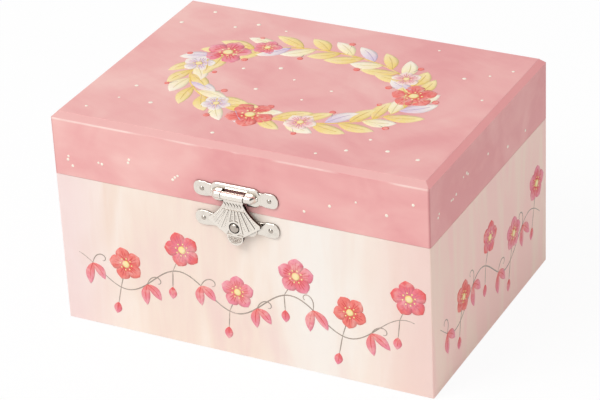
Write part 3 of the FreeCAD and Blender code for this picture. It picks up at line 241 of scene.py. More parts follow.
# Painted decoration
STEM_W = 0.42
STROKE_TAPER = 0.6
RIB_SHARE = 0.075
RIB_LEVEL = 3
LEAF_STEPS = 9
LEAF_ACROSS = (-1, -0.5, 0, 0.5, 1)
LEAF_FULLNESS = 0.8
LEAF_TIP = 0.05
DAB_SIDES = 14
DAB_SHOULDER = 0.6
DAB_TOP = 1.5
TENDRIL_STEPS = 26
TENDRIL_STEP = 0.42
TENDRIL_TURN = 0.04
TENDRIL_WIND = 0.42
BLOSSOM_LEVEL = 2
PETALS = 5
PETAL_WIDE = 4.2
PETAL_BLUNT = 1.5
VEIN_LEAN = 0.24
VEIN_FROM = 0.2
VEIN_TO = 0.8
VEIN_STEPS = 5
VEIN_W = 0.035
VEIN_DEPTH = 0.4
EYE_SHARE = 0.22
STAMENS = 8
STAMEN_RING = 0.34
STAMEN_R = 0.05
SCATTER_TRIES = 40

# Wreath and dabs on the lid
LID_SEED = 4
WREATH = (45.0, 30.0)
WREATH_STEPS = 96
WREATH_STALK_W = 0.9
WREATH_LEAVES = 54
WREATH_AHEAD = 0.05
WREATH_LEAN = 0.6
WREATH_SWAY = 0.12
WREATH_BEND = 0.8
WREATH_LEAF_L = (13, 16)
WREATH_LEAF_W = (5.4, 6.6)
WREATH_RIB = 0.25
BERRY_OFF = 9
BERRY_BACK = 0.06
BERRY_R = (1.0, 1.4)
DAB_AREA = (71, 49)
DAB_COUNT = 26
DAB_GAP = 9
DAB_R = (0.5, 0.9)
DAB_CLEAR = 15
DAB_STEPS = 40
RIM_SEED = 11
RIM_END = 6
RIM_HALF_H = 6.0
RIM_PITCH = 8
RIM_GAP = 11
RIM_DAB_STEP = 1.5
RIM_DAB_R = (0.4, 0.65)
RIM_TURN = 6.3
CLASP_CLEAR = 22

# Vine round the base
VINE_SEED = 2
VINE_END = 7
VINE_PITCH = 26
VINE_RISE = -7
VINE_SWING = 6.5
VINE_STEPS = 90
VINE_STEM = 1.2
VINE_RIB = 0.3
SPRAYS_PER_WAVE = 4
SPRAY_LEAN = (1.0, 1.35)
PAIR_LEAN = 0.42
PAIR_LEAF_L = (8, 10)
PAIR_LEAF_W = 3.8
PAIR_BEND = 0.7
HEAD_STALK = (9, 12)
HEAD_SIZE = (6.6, 7.6)
HEAD_TURN = 6
BUD_LEAN = 0.5
BUD_STALK = (6, 8)
BUD_L = 5.2
BUD_W = 3.4

# Hasp, down from the clasp's axis and out from the front face
HASP_FACE = 2.8
HASP_BACK = 1.5
FAN_HALF_W = 10.6
FAN_DROP = 10.1
FOOT_HALF_W = 3.3
FOOT_DROP = 16.4
FAN_EDGE_SLOPE = 0.7
STUD_DROP = 12.9
EYE_RIM_R = 3.3
TAB_DROP = 16.9
TAB_R = 3.3
TAB_RIM = 0.5
NECK_DROP = 2.8
EDGE_PLAY = 0.1
RIB_COUNT = 9
BEADS_FROM = 6.4
BEADS_IN_ROW = 12
BEAD_R = 0.24
BEAD_STEP = 0.85
BEAD_RIM = 1.5
BEAD_SIDES = 8
BEAD_PROFILE = ((1.0, -0.3), (1.0, 0.1), (0.72, 0.55))
BEAD_TOP = 0.75
TAB_BEAD_ROWS = 4
TAB_BEADS = 4
TAB_BEADS_FROM = 0.35
TAB_BEAD_ACROSS = 0.8
TAB_BEAD_DOWN = 0.75
TAB_BEAD_RIM = 0.45
TAB_BEAD_SHARE = 0.85
CAP_R = 1.9
CAP_OUT = 2.7
CAP_RISE = 1.25
CAP_TIP_R = 0.05
CAP_STEPS = 12
CAP_SIDES = 40

# Clasp plates, across and up from their middles and out from the front face
SHEET_T = 0.7
SHEET_ROUND = 0.25
RIM_STEPS = 5
RIM_FLAT = 1.2
MITRE_LIMIT = 0.5
EAR_STEPS = 28
EAR_FROM = 8.0
EAR_WAIST = 10.6
EAR_LOBE = 12.6
EAR_ROUND = 14.6
EAR_TIP = 17.4
EAR_BLUNT = 2.3
EAR_HALF_H = 3.0
EAR_WAIST_H = 2.6
PAN_CORNER = 3.0
PAN_STEPS = 8
LID_PLATE_RISE = -0.1
LID_PAN = (10.5, 3.9)
LID_PAN_OUT = 1.1
LID_PAN_ROUND = 0.9
WINDOW_HALF_W = 4.75
WINDOW_TOP = 1.75
WINDOW_RIM = 0.15
CATCH_RISE = -12.4
CATCH_PAN = (8.5, 4.0)
CATCH_PAN_OUT = 1.2
CATCH_PAN_ROUND = 0.4
BARREL_STEPS = 18
BARREL_SIDES = 8
BARREL_R = 1.55
BARREL_OUT = 2.5
BARREL_FLARE = 0.7
BARREL_ROUND = 7.2
BARREL_END = 9.4
BARREL_TAPER = 1.7


def srgb(code):
    """A linear colour from a display colour's code."""
    def linear(value):
        share = value / 255
        return share / 12.92 if share <= 0.04045 else ((share + 0.055) / 1.055) ** 2.4

    return (*(linear(value) for value in bytes.fromhex(code)), 1.0)


# Colours
PINKS = [srgb("e6a0a0"), srgb("ebaba9"), srgb("eeb4b0"), srgb("f2c0ba")]
CREAMS = [srgb("f0d6cd"), srgb("f3e0d2"), srgb("f6e8dc"), srgb("f1dccb")]
ROSE_TINT = srgb("fad1c8")
SAND_TINT = srgb("f8dbcb")
# painted light and shade of the lid's chamfer, a front tone and a side tone
FRONT_BEVEL_PAINTED_LIGHT = srgb("e0aaa6")
SIDE_BEVEL_PAINTED_LIGHT = srgb("faa8a8")
# colour of the chamfer's edge line: wear and a painted highlight
WORN_HIGHLIGHT = srgb("fae0d8")
EDGE_LINE = srgb("c4767a")
LILAC_TINT = srgb("f0d6d7")
PALE_TINT = srgb("f5f0e9")
BLUSH_TINT = srgb("efcec7")
LINING = srgb("e294a0")
LINING_DARK = srgb("ce7a8a")
BOARD = srgb("b09880")
BOARD_DARK = srgb("947c65")
CORAL = srgb("e9625c")
SALMON = srgb("ee837a")
ROSE = srgb("ec8fa5")
LILAC = srgb("d6bede")
BUTTER = srgb("f9e7ac")
GOLD = srgb("f0cd6e")
IVORY = srgb("fcf4e4")
STEM = srgb("a6988c")
DEEP = srgb("c03642")
SKIN = srgb("f6d0bb")
BLUSH = srgb("f0a498")
LASH = srgb("4a322a")
BROW = srgb("8c6248")
LIPS = srgb("d0545c")
# painted shade for the hasp's side edges
EDGE_SHADE = srgb("463832")
MATTED = srgb("aa9b8f")
HEAD_TONES = ((CORAL, SALMON), (ROSE, CORAL), (SALMON, ROSE), (CORAL, ROSE))
WREATH_BLOSSOMS = ((12, 9.0, (CORAL, SALMON)), (38, 6.0, (ROSE, IVORY)), (150, 9.5, (CORAL, ROSE)),
                   (176, 6.5, (LILAC, IVORY)), (126, 6.0, (SALMON, ROSE)), (262, 9.5, (CORAL, SALMON)),
                   (288, 6.5, (ROSE, IVORY)), (240, 6.0, (LILAC, IVORY)))


def blended(a, b, share):
    return tuple(lerp(p, q, share) for p, q in zip(a, b))


def clamped(value, low, high):
    return min(max(value, low), high)


def lerp(a, b, share):
    return a + (b - a) * share


def shares(steps):
    """Even shares from 0 to 1."""
    return [n / steps for n in range(steps + 1)]


def quarter(steps):
    """Angles from 0 to a right angle."""
    return [pi / 2 * share for share in shares(steps)]


def turns(count, closed=False):
    """Angles all the way round; closed repeats the first at the end."""
    return [2 * pi * k / count for k in range(count + closed)]


def ring_point(angle, half_u=1.0, half_v=1.0):
    return Vector((half_u * cos(angle), half_v * sin(angle)))


def between(start, end, steps=6):
    """Points on the straight line from start to end."""
    return [start.lerp(end, share) for share in shares(steps)]


def heading(points, n):
    """The way that a line of points runs at its point n."""
    return (points[min(n + 1, len(points) - 1)] - points[max(n - 1, 0)]).normalized()


OPERATIONS = {"__add__": "ADD", "__sub__": "SUBTRACT", "__mul__": "MULTIPLY", "__pow__": "POWER",
              "__abs__": "ABSOLUTE", "__lt__": "LESS_THAN", "__gt__": "GREATER_THAN",
              "least": "MINIMUM", "most": "MAXIMUM"}


class Field:
    """A value or colour that varies from place to place; arithmetic on it adds nodes."""

    def __init__(self, nodes, socket):
        self.nodes = nodes
        self.socket = socket

    def __rsub__(self, other):
        return self.nodes.math("SUBTRACT", other, self)

    def ranged(self, low, high, to_low=0.0, to_high=1.0, smooth=False):
        inputs = {"Value": self, "From Min": low, "From Max": high, "To Min": to_low, "To Max": to_high}
        kind = "SMOOTHSTEP" if smooth else "LINEAR"
        return self.nodes.field("ShaderNodeMapRange", 0, inputs, interpolation_type=kind)

    def fading(self, near, far, share=1.0):
        """Falls smoothly from share at near to nothing at far."""
        return self.ranged(near, far, share, 0.0, smooth=True)


def operator(operation):
    return lambda field, other=0.0: field.nodes.math(operation, field, other)


for name, operation in OPERATIONS.items():
    setattr(Field, name, operator(operation))


class Nodes:
    """A shader tree while it is being put together."""

    def __init__(self, tree):
        self.tree = tree

    def give(self, socket, value):
        """Links a field to an input, or sets the input to a plain value."""
        if isinstance(value, Field):
            self.tree.links.new(value.socket, socket)
        else:
            socket.default_value = value

    def add(self, kind, inputs=(), **settings):
        node = self.tree.nodes.new(kind)
        for name, value in settings.items():
            setattr(node, name, value)
        for socket, value in dict(inputs).items():
            self.give(node.inputs[socket], value)
        return node

    def field(self, kind, output, inputs=(), **settings):
        return Field(self, self.add(kind, inputs, **settings).outputs[output])

    def math(self, operation, a, b):
        return self.field("ShaderNodeMath", 0, {0: a, 1: b}, operation=operation)

    def mixed_shader(self, factor, a, b):
        return self.field("ShaderNodeMixShader", 0, {0: factor, 1: a, 2: b})

    def seen_ray(self):
        """1 for rays that show the background: straight, mirrored or through glass."""
        rays = self.add("ShaderNodeLightPath").outputs
        straight, mirrored, through = (
            Field(self, rays[f"Is {kind} Ray"]) for kind in ("Camera", "Glossy", "Transmission"))
        return straight.most(mirrored).most(through)


FINISHES = {}


class Finish(Nodes):
    """A procedural material, kept in FINISHES; places on its surface are in millimetres."""

    def __init__(self, name, **sockets):
        self.material = bpy.data.materials.new(name)
        FINISHES[name] = self.material
        self.material.use_nodes = True
        super().__init__(self.material.node_tree)
        self.shader = self.tree.nodes["Principled BSDF"]
        for socket, value in sockets.items():
            self.shader.inputs[socket.replace("_", " ")].default_value = value
        place = self.field("ShaderNodeTexCoord", "Object")
        self.mm = self.scaled(place, (1 / MM, 1 / MM, 1 / MM))

    def scaled(self, vector, scale, turn=0.0):
        inputs = {"Vector": vector, "Scale": scale, "Rotation": (0, 0, radians(turn))}
        return self.field("ShaderNodeMapping", 0, inputs)

    def noise(self, size, detail=2.0, stretch=(1, 1, 1), turn=0.0, warp=0.0):
        """Noise in patches about size across, longer by stretch, turned about the upright."""
        vector = self.scaled(self.scaled(self.mm, (1, 1, 1), turn), [1 / (size * s) for s in stretch])
        inputs = {"Vector": vector, "Scale": 1.0, "Detail": detail, "Distortion": warp}
        return self.field("ShaderNodeTexNoise", "Fac", inputs)

    def ramp(self, value, colours, stops=NOISE_RANGE):
        node = self.add("ShaderNodeValToRGB", {"Fac": value})
        elements = node.color_ramp.elements
        while len(elements) < len(stops):
            elements.new(0.5)
        for element, position, colour in zip(elements, stops, colours):
            element.position = position
            element.color = colour
        return Field(self, node.outputs["Color"])

    def mix(self, factor, a, b, blend="MIX"):
        inputs = {0: factor, 6: a, 7: b}
        return self.field("ShaderNodeMix", 2, inputs, data_type="RGBA", blend_type=blend)

    def axes(self):
        return [Field(self, axis) for axis in self.add("ShaderNodeSeparateXYZ", {"Vector": self.mm}).outputs]

    def colour(self, field):
        self.give(self.shader.inputs["Base Color"], field)

    def roughness(self, field, low, high):
        self.give(self.shader.inputs["Roughness"], field.ranged(*NOISE_RANGE, low, high))

    def bump(self, height, depth):
        inputs = {"Height": height, "Distance": depth * MM, "Strength": 1.0}
        self.give(self.shader.inputs["Normal"], self.field("ShaderNodeBump", 0, inputs))


def make_camera():
    data = bpy.data.cameras.new("camera")
    data.lens = LENS
    data.sensor_fit = "HORIZONTAL"
    data.clip_start = NEAREST * MM
    camera = bpy.data.objects.new("camera", data)
    view = Matrix.Translation(AIM * MM)
    for angle, axis in ((AZIMUTH, "Z"), (pi / 2 - ELEVATION, "X"), (ROLL, "Z")):
        view = view @ Matrix.Rotation(angle, 4, axis)
    camera.matrix_world = view @ Matrix.Translation((0, 0, DISTANCE * MM))
    bpy.context.scene.collection.objects.link(camera)
    bpy.context.scene.camera = camera


def make_world():
    """Even white light; polished metal also mirrors the unlit side of the studio."""
    world = bpy.data.worlds.new("studio")
    world.use_nodes = True
    nodes = Nodes(world.node_tree)
    light = nodes.tree.nodes["Background"]
    nodes.give(light.inputs["Color"], WHITE)
    nodes.give(light.inputs["Strength"], AMBIENT)
    way = nodes.field("ShaderNodeTexCoord", "Generated")
    near = nodes.field("ShaderNodeVectorMath", "Value", {0: way, 1: DARK_WAY}, operation="DOT_PRODUCT")
    level = near.ranged(DARK_FROM, DARK_FULL, 1.0, DARK_LEVEL, smooth=True)
    strength = nodes.field("ShaderNodeLightPath", "Is Camera Ray").most(level)
    shown = nodes.field("ShaderNodeBackground", 0, {"Color": WHITE, "Strength": strength})
    both = nodes.mixed_shader(nodes.seen_ray(), Field(nodes, light.outputs[0]), shown)
    nodes.give(nodes.tree.nodes["World Output"].inputs["Surface"], both)
    bpy.context.scene.world = world


def new_object(name, bm, material):
    mesh = bpy.data.meshes.new(name)
    bm.to_mesh(mesh)
    bm.free()
    mesh.materials.append(material)
    made = bpy.data.objects.new(name, mesh)
    bpy.context.scene.collection.objects.link(made)
    return made


def make_floor():
    """A white floor that keeps the shadow and is clear from below."""
    finish = Finish("floor", Base_Color=FLOOR_GREY, Roughness=1.0, Specular_IOR_Level=0.0)
    matt = Field(finish, finish.shader.outputs[0])
    glow = finish.field("ShaderNodeEmission", 0)
    above = finish.mixed_shader(finish.seen_ray() * FLOOR_WHITE, matt, glow)
    clear = finish.field("ShaderNodeBsdfTransparent", 0)
    from_below = finish.field("ShaderNodeNewGeometry", "Backfacing")
    surface = finish.tree.nodes["Material Output"].inputs["Surface"]
    finish.give(surface, finish.mixed_shader(from_below, above, clear))
    bm = bmesh.new()
    bmesh.ops.create_grid(bm, x_segments=4, y_segments=4, size=FLOOR_SIZE * MM / 2)
    floor = new_object("floor", bm, finish.material)
    floor.location.z = -FLOOR_GAP * MM


def make_key_light():
    data = bpy.data.lights.new("key", "AREA")
    data.energy = KEY_POWER
    data.size = KEY_SIZE * MM
    lamp = bpy.data.objects.new("key", data)
    lamp.location = (AIM + KEY_FROM.normalized() * KEY_DISTANCE) * MM
    lamp.rotation_euler = KEY_FROM.to_track_quat("Z", "Y").to_euler()
    bpy.context.scene.collection.objects.link(lamp)


def lined(finish, outside):
    """Colours the inner faces as lining and the recess under the floor as bare board."""
    x, y, z = finish.axes()
    inside = (abs(x) < INNER_X + LINING_EDGE) * (abs(y - MIDDLE_Y) < INNER_Y + LINING_EDGE)
    inside = inside * (z < CEILING + LINING_EDGE)
    under = inside * (z < FLOOR_UNDER + LINING_EDGE)
    lining = finish.ramp(finish.noise(0.7, 3.0), (LINING_DARK, LINING), (0.3, 0.65))
    board = finish.ramp(finish.noise(2.2, 4.0, (3, 1, 1)), (BOARD_DARK, BOARD))
    finish.colour(finish.mix(under, finish.mix(inside, outside, lining), board))


def lid_paper():
    """Brushed pink with a chamfer painted in light and shade, paler at its lower edge as wear and painted
    highlight, and darker corners.
    """
    finish = Finish("lid_paper", **PAPER)
    clouds = finish.noise(30, 3.0, warp=0.9)
    sweeps = finish.noise(9, 3.0, (4.0, 1.4, 1), 24, 0.4)
    streaks = finish.noise(2.4, 2.0, (8.0, 1, 1), 18)
    x, y, z = finish.axes()
    tone = clouds * CLOUD_SHARE + sweeps * SWEEP_SHARE + streaks * STREAK_SHARE - x * LID_FADE
    outside = finish.ramp(tone, PINKS, LID_STOPS)
    to_x = LID_HIGH.x - abs(x)
    to_y = HALF_Y - abs(y - MIDDLE_Y)
    to_top = LID_HIGH.z - z
    # painted light and shade: the chamfer gets a front tone and a side tone for how light falls on it
    slope = (to_x.least(to_y).least(to_top) > BEVEL_EDGE) * (to_top < BEVEL)
    bevel_painted_light = finish.mix(to_x < to_y, FRONT_BEVEL_PAINTED_LIGHT, SIDE_BEVEL_PAINTED_LIGHT)
    outside = finish.mix(slope * BEVEL_PAINTED_LIGHT_SHARE, outside, bevel_painted_light)
    # wear and a painted highlight: a pale line along the chamfer's lower edge on the front and back
    off_edge = abs(to_top - BEVEL) + to_y
    worn_highlight = off_edge.fading(*WORN_HIGHLIGHT_REACH, WORN_HIGHLIGHT_SHARE) * sweeps.ranged(0.4, 0.6)
    outside = finish.mix(worn_highlight, outside, WORN_HIGHLIGHT)
    corner = to_x.most(to_y).fading(*CORNER_REACH, CORNER_SHARE)
    lined(finish, finish.mix(corner, outside, EDGE_LINE))
    finish.roughness(sweeps, *PAPER_ROUGH)
    finish.bump(finish.noise(0.45, 3.0) + streaks * 1.4, PAPER_GRAIN)


def base_paper():
    """Streaked cream, washed with lilac, white and blush from left to right; rose on the right face."""
    finish = Finish("base_paper", **PAPER)
    clouds = finish.noise(36, 2.0, (1, 1, 1.8), warp=0.7)
    streaks = finish.noise(9, 3.0, (1, 1, 6.0), warp=0.5)
    fine = finish.noise(2.2, 2.0, (1, 1, 16.0))
    tone = clouds * CLOUD_SHARE + streaks * SWEEP_SHARE + fine * STREAK_SHARE
    outside = finish.ramp(tone, CREAMS, BASE_STOPS)
    x = finish.axes()[0]
    left = x.fading(BASE_LOW.x, BASE_LOW.x + WASH_REACH, LILAC_SHARE)
    outside = finish.mix(left, outside, LILAC_TINT)
    pale = abs(x - PALE_X).fading(0.0, WASH_REACH, PALE_SHARE) * streaks.ranged(0.3, 0.6, 0.55, 1.0)
    outside = finish.mix(pale, outside, PALE_TINT)
    near_right = x.ranged(BASE_HIGH.x - WASH_REACH, BASE_HIGH.x, 0.0, BLUSH_SHARE, smooth=True)
    outside = finish.mix(near_right, outside, BLUSH_TINT)
    right = x.ranged(*(BASE_HIGH.x - reach for reach in RIGHT_REACH), 0.0, RIGHT_SHARE)
    rose = finish.ramp(streaks, (SAND_TINT, ROSE_TINT), (0.38, 0.58))
    lined(finish, finish.mix(right, outside, rose))
    finish.roughness(streaks, *PAPER_ROUGH)
    finish.bump(finish.noise(0.45, 3.0) + fine, PAPER_GRAIN)


def flock(name, dark, light, sheen=0.5):
    """A short-piled fabric: flecked, matt, with a pale sheen."""
    finish = Finish(name, Roughness=0.95, Specular_IOR_Level=0.15, Sheen_Weight=sheen,
                    Sheen_Roughness=0.45, Sheen_Tint=light)
    pile = finish.noise(0.5, 4.0)
    brushed = finish.noise(9, 2.0, (1, 2.2, 1), 35, 0.6)
    finish.colour(finish.ramp(pile * PILE_SHARE + brushed * (1 - PILE_SHARE), (dark, light), (0.34, 0.62)))
    finish.bump(pile, 0.12)


def plain(name, size, dark, light, depth, detail, stretch, **sockets):
    """Two shades of one colour in a grain that also gives the relief."""
    finish = Finish(name, **sockets)
    grain = finish.noise(size, detail, stretch)
    finish.colour(finish.ramp(grain, (dark, light)))
    finish.bump(grain, depth)


def metal(name, dark, light, roughness, grain=0.6, stretch=(1, 1, 1), marks=None):
    """A plated or rolled metal, uneven, with painted shade darkening its recesses; marks adds to its colour."""
    finish = Finish(name, Metallic=1.0, Roughness=roughness)
    wear = finish.noise(2.6, 4.0)
    rub = finish.noise(grain, 3.0, stretch)
    # painted shade: ambient occlusion darkens the colour in recesses and next to other parts
    crease_shade = finish.field("ShaderNodeAmbientOcclusion", "AO", {"Distance": CREASE_SHADE_REACH * MM}, samples=8)
    middle = blended(dark, light, CREASE_SHADE_MIDDLE)
    shade = finish.ramp(crease_shade, (dark, middle, light), CREASE_SHADE_STOPS)
    shade = finish.mix(wear.ranged(0.5, 0.8, 0.0, 0.25), shade, middle)
    finish.colour(marks(finish, shade) if marks else shade)
    finish.roughness(wear.most(rub), roughness * 0.75, roughness * 1.45)
    finish.bump(rub, 0.008)


def stamped(finish, shade):
    """The hasp's side edges darkened as painted shade, and the matted ground of its tab."""
    x, y, z = finish.axes()
    out = BASE_LOW.y - y
    front = HASP_FACE - EDGE_PLAY
    # painted shade: the hasp's side edges, which stand off the box, are coloured dark
    edge = (out < front) * (out > HASP_BACK + EDGE_PLAY) * (z < HASP_AXIS_Z - NECK_DROP)
    from_tab = z - (HASP_AXIS_Z - TAB_DROP)
    reach = (x ** 2.0 + from_tab ** 2.0) ** 0.5
    tab = (reach < TAB_R - TAB_RIM) * (from_tab < TAB_RIM) * (out > front)
    matted = tab * finish.noise(0.3, 1.0).ranged(0.42, 0.52)
    return finish.mix(edge, finish.mix(matted, shade, MATTED), EDGE_SHADE)


def plastic(name, dark, light, roughness=0.35):
    finish = Finish(name, Roughness=roughness, Specular_IOR_Level=0.45)
    flow = finish.noise(5, 3.0, warp=1.0)
    finish.colour(finish.ramp(flow, (dark, light)))
    finish.roughness(flow, roughness * 0.8, roughness * 1.3)
    finish.bump(finish.noise(0.35, 2.0), 0.01)


def mirror_finish():
    """Silvered glass, a little greyer towards its cut edge."""
    low, high = span("mirror")
    finish = Finish("glass", Metallic=1.0, Roughness=0.03)
    x, y, _ = finish.axes()
    to_x = (high.x - low.x) / 2 - abs(x)
    to_y = (high.y - low.y) / 2 - abs(y - (high.y + low.y) / 2)
    rim = to_x.least(to_y).fading(0.0, MIRROR_RIM)
    finish.colour(finish.mix(rim, srgb("eceff0"), srgb("acb8b6")))
    finish.roughness(finish.noise(14, 3.0), 0.015, 0.05)


def dancer_finish():
    """Painted figure: shoes, tights, leotard and skin by height."""
    finish = Finish("skin_plastic", Roughness=0.4, Specular_IOR_Level=0.4, Subsurface_Weight=0.08,
                    Subsurface_Scale=SKIN_DEPTH * MM)
    x, _, z = finish.axes()
    height = z.ranged(FIGURE_LOW.z, FIGURE_HIGH.z)
    flow = finish.noise(1.6, 3.0)
    skin = finish.ramp(flow, (srgb("f0c4ac"), srgb("f7d3be")))
    tights = finish.ramp(flow, (srgb("f6d6d0"), srgb("fae4de")))
    satin = finish.ramp(flow, (srgb("de7a8c"), srgb("ec96a4")))
    arms = abs(x) > ARM_SHARE * FIGURE_TALL
    neckline = abs(x) ** 2.0 * (NECK_DIP / FIGURE_TALL) + NECK_SHARE - arms
    bare = (height > neckline) * (height > NECK_SHARE)
    colour = finish.mix(height > HIP_SHARE, tights, satin)
    colour = finish.mix(height < ANKLE_SHARE, colour, satin)
    finish.colour(finish.mix(bare, colour, skin))
    finish.bump(finish.noise(0.4, 2.0), 0.01)


def tulle_finish():
    """A fine net: pale threads over a faint pink."""
    finish = Finish("tulle", Roughness=0.8, Sheen_Weight=0.6, Sheen_Roughness=0.4, Alpha=0.82)
    inputs = {"Vector": finish.mm, "Scale": 2.2}
    cells = finish.field("ShaderNodeTexVoronoi", "Distance", inputs, feature="DISTANCE_TO_EDGE")
    thread = cells.ranged(0.02, 0.12, 1.0, 0.0)
    finish.colour(finish.mix(thread, srgb("f6ced6"), srgb("fff6f6")))
    finish.bump(thread, 0.03)


def paint_finish():
    """Gouache: each stroke's own colour, thinner and streakier in places."""
    finish = Finish("gouache", Roughness=0.5, Specular_IOR_Level=0.3)
    laid = finish.field("ShaderNodeAttribute", "Color", attribute_name="paint")
    wash = finish.noise(3.2, 3.0, warp=0.8)
    streaks = finish.noise(0.9, 2.0)
    thin = finish.mix(wash.ranged(0.48, 0.75, 0.0, 0.45), laid, srgb("fcded4"))
    finish.colour(finish.mix(streaks.ranged(0.52, 0.8, 0.0, 0.3), thin, laid, "MULTIPLY"))
    finish.roughness(wash, 0.42, 0.6)
    finish.bump(streaks + wash, 0.03)


def make_finishes():
    for make in (lid_paper, base_paper, mirror_finish, dancer_finish, tulle_finish, paint_finish):
        make()
    flock("lining", LINING_DARK, LINING)
    flock("felt", srgb("cc7888"), srgb("de929e"), 0.3)
    flock("velvet", srgb("c46074"), srgb("e08a98"), 0.9)
    # each metal's first colour is the painted shade in its recesses
    metal("nickel", srgb("342a26"), srgb("eee7de"), 0.15)
    metal("plate", srgb("544840"), srgb("eae2d8"), 0.15)
    metal("nail", srgb("28201c"), srgb("bcb2a8"), 0.12)
    metal("stamped", srgb("968a80"), srgb("f0e8de"), 0.2, marks=stamped)
    metal("zinc", srgb("7a7c7e"), srgb("bcbebe"), 0.42, 0.5)
    metal("steel", srgb("707276"), srgb("ccced0"), 0.3, 0.4, (6, 1, 1))
    metal("brass", srgb("8a6834"), srgb("deb86c"), 0.3, 0.5)
    plastic("white_plastic", srgb("eee8e2"), srgb("faf6f2"))
    plastic("black_plastic", srgb("1a1a1c"), srgb("2c2c30"))
    plain("board", 1.2, BOARD_DARK, BOARD, 0.05, 5.0, (3, 1, 1), Roughness=0.85, Specular_IOR_Level=0.2)
    plain("hair", 0.5, srgb("5c3c2a"), srgb("8a5e40"), 0.03, 3.0, (1, 1, 6),
          Roughness=0.45, Specular_IOR_Level=0.4)
    plain("satin", 0.18, srgb("d66e84"), srgb("ec98a8"), 0.02, 2.0, (5, 5, 1),
          Roughness=0.32, Specular_IOR_Level=0.5, Sheen_Weight=0.3)


def give_finishes():
    """Puts a finish on every node by the slot its record names."""
    for entry in frame["record"]["subparts"]:
        node = entry["node"]
        materials = frame["nodes"][node].data.materials
        materials.clear()
        materials.append(FINISHES[NODE_FINISHES.get(node, entry["material_slot"])])


def new_piece(name, bm, finish, body, scale=MM):
    """A smooth mesh object from bm, drawn in millimetres, that moves with a body."""
    bmesh.ops.scale(bm, vec=(scale, scale, scale), verts=bm.verts)
    bmesh.ops.recalc_face_normals(bm, faces=bm.faces)
    for face in bm.faces:
        face.smooth = True
    piece = new_object(name, bm, FINISHES[finish])
    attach(piece, body)
    return piece


def skinned(bm, rings):
    """Faces between neighbouring rings of vertices."""
    for a, b in zip(rings, rings[1:]):
        for k in range(len(a)):
            bm.faces.new((a[k - 1], a[k], b[k], b[k - 1]))


def fanned(bm, ring, top):
    """Faces from a ring of vertices to one vertex."""
    for k in range(len(ring)):
        bm.faces.new((ring[k - 1], ring[k], top))


def gridded(bm, grid):
    """Faces over a grid of rows of vertices."""
    for a, b in zip(grid, grid[1:]):
        for k in range(len(a) - 1):
            bm.faces.new((a[k], a[k + 1], b[k + 1], b[k]))


def rim_of(grid):
    """The outer items of a grid of rows, in order round it."""
    return (grid[0] + [row[-1] for row in grid[1:-1]] + grid[-1][::-1]
            + [row[0] for row in grid[-2:0:-1]])


def loft(bm, rows):
    """A closed skin over rings of points, with the first and last ring filled."""
    rings = [[bm.verts.new(point) for point in row] for row in rows]
    skinned(bm, rings)
    bm.faces.new(rings[0][::-1])
    bm.faces.new(rings[-1])


def lofted(name, rows, finish, body):
    bm = bmesh.new()
    loft(bm, rows)
    return new_piece(name, bm, finish, body)


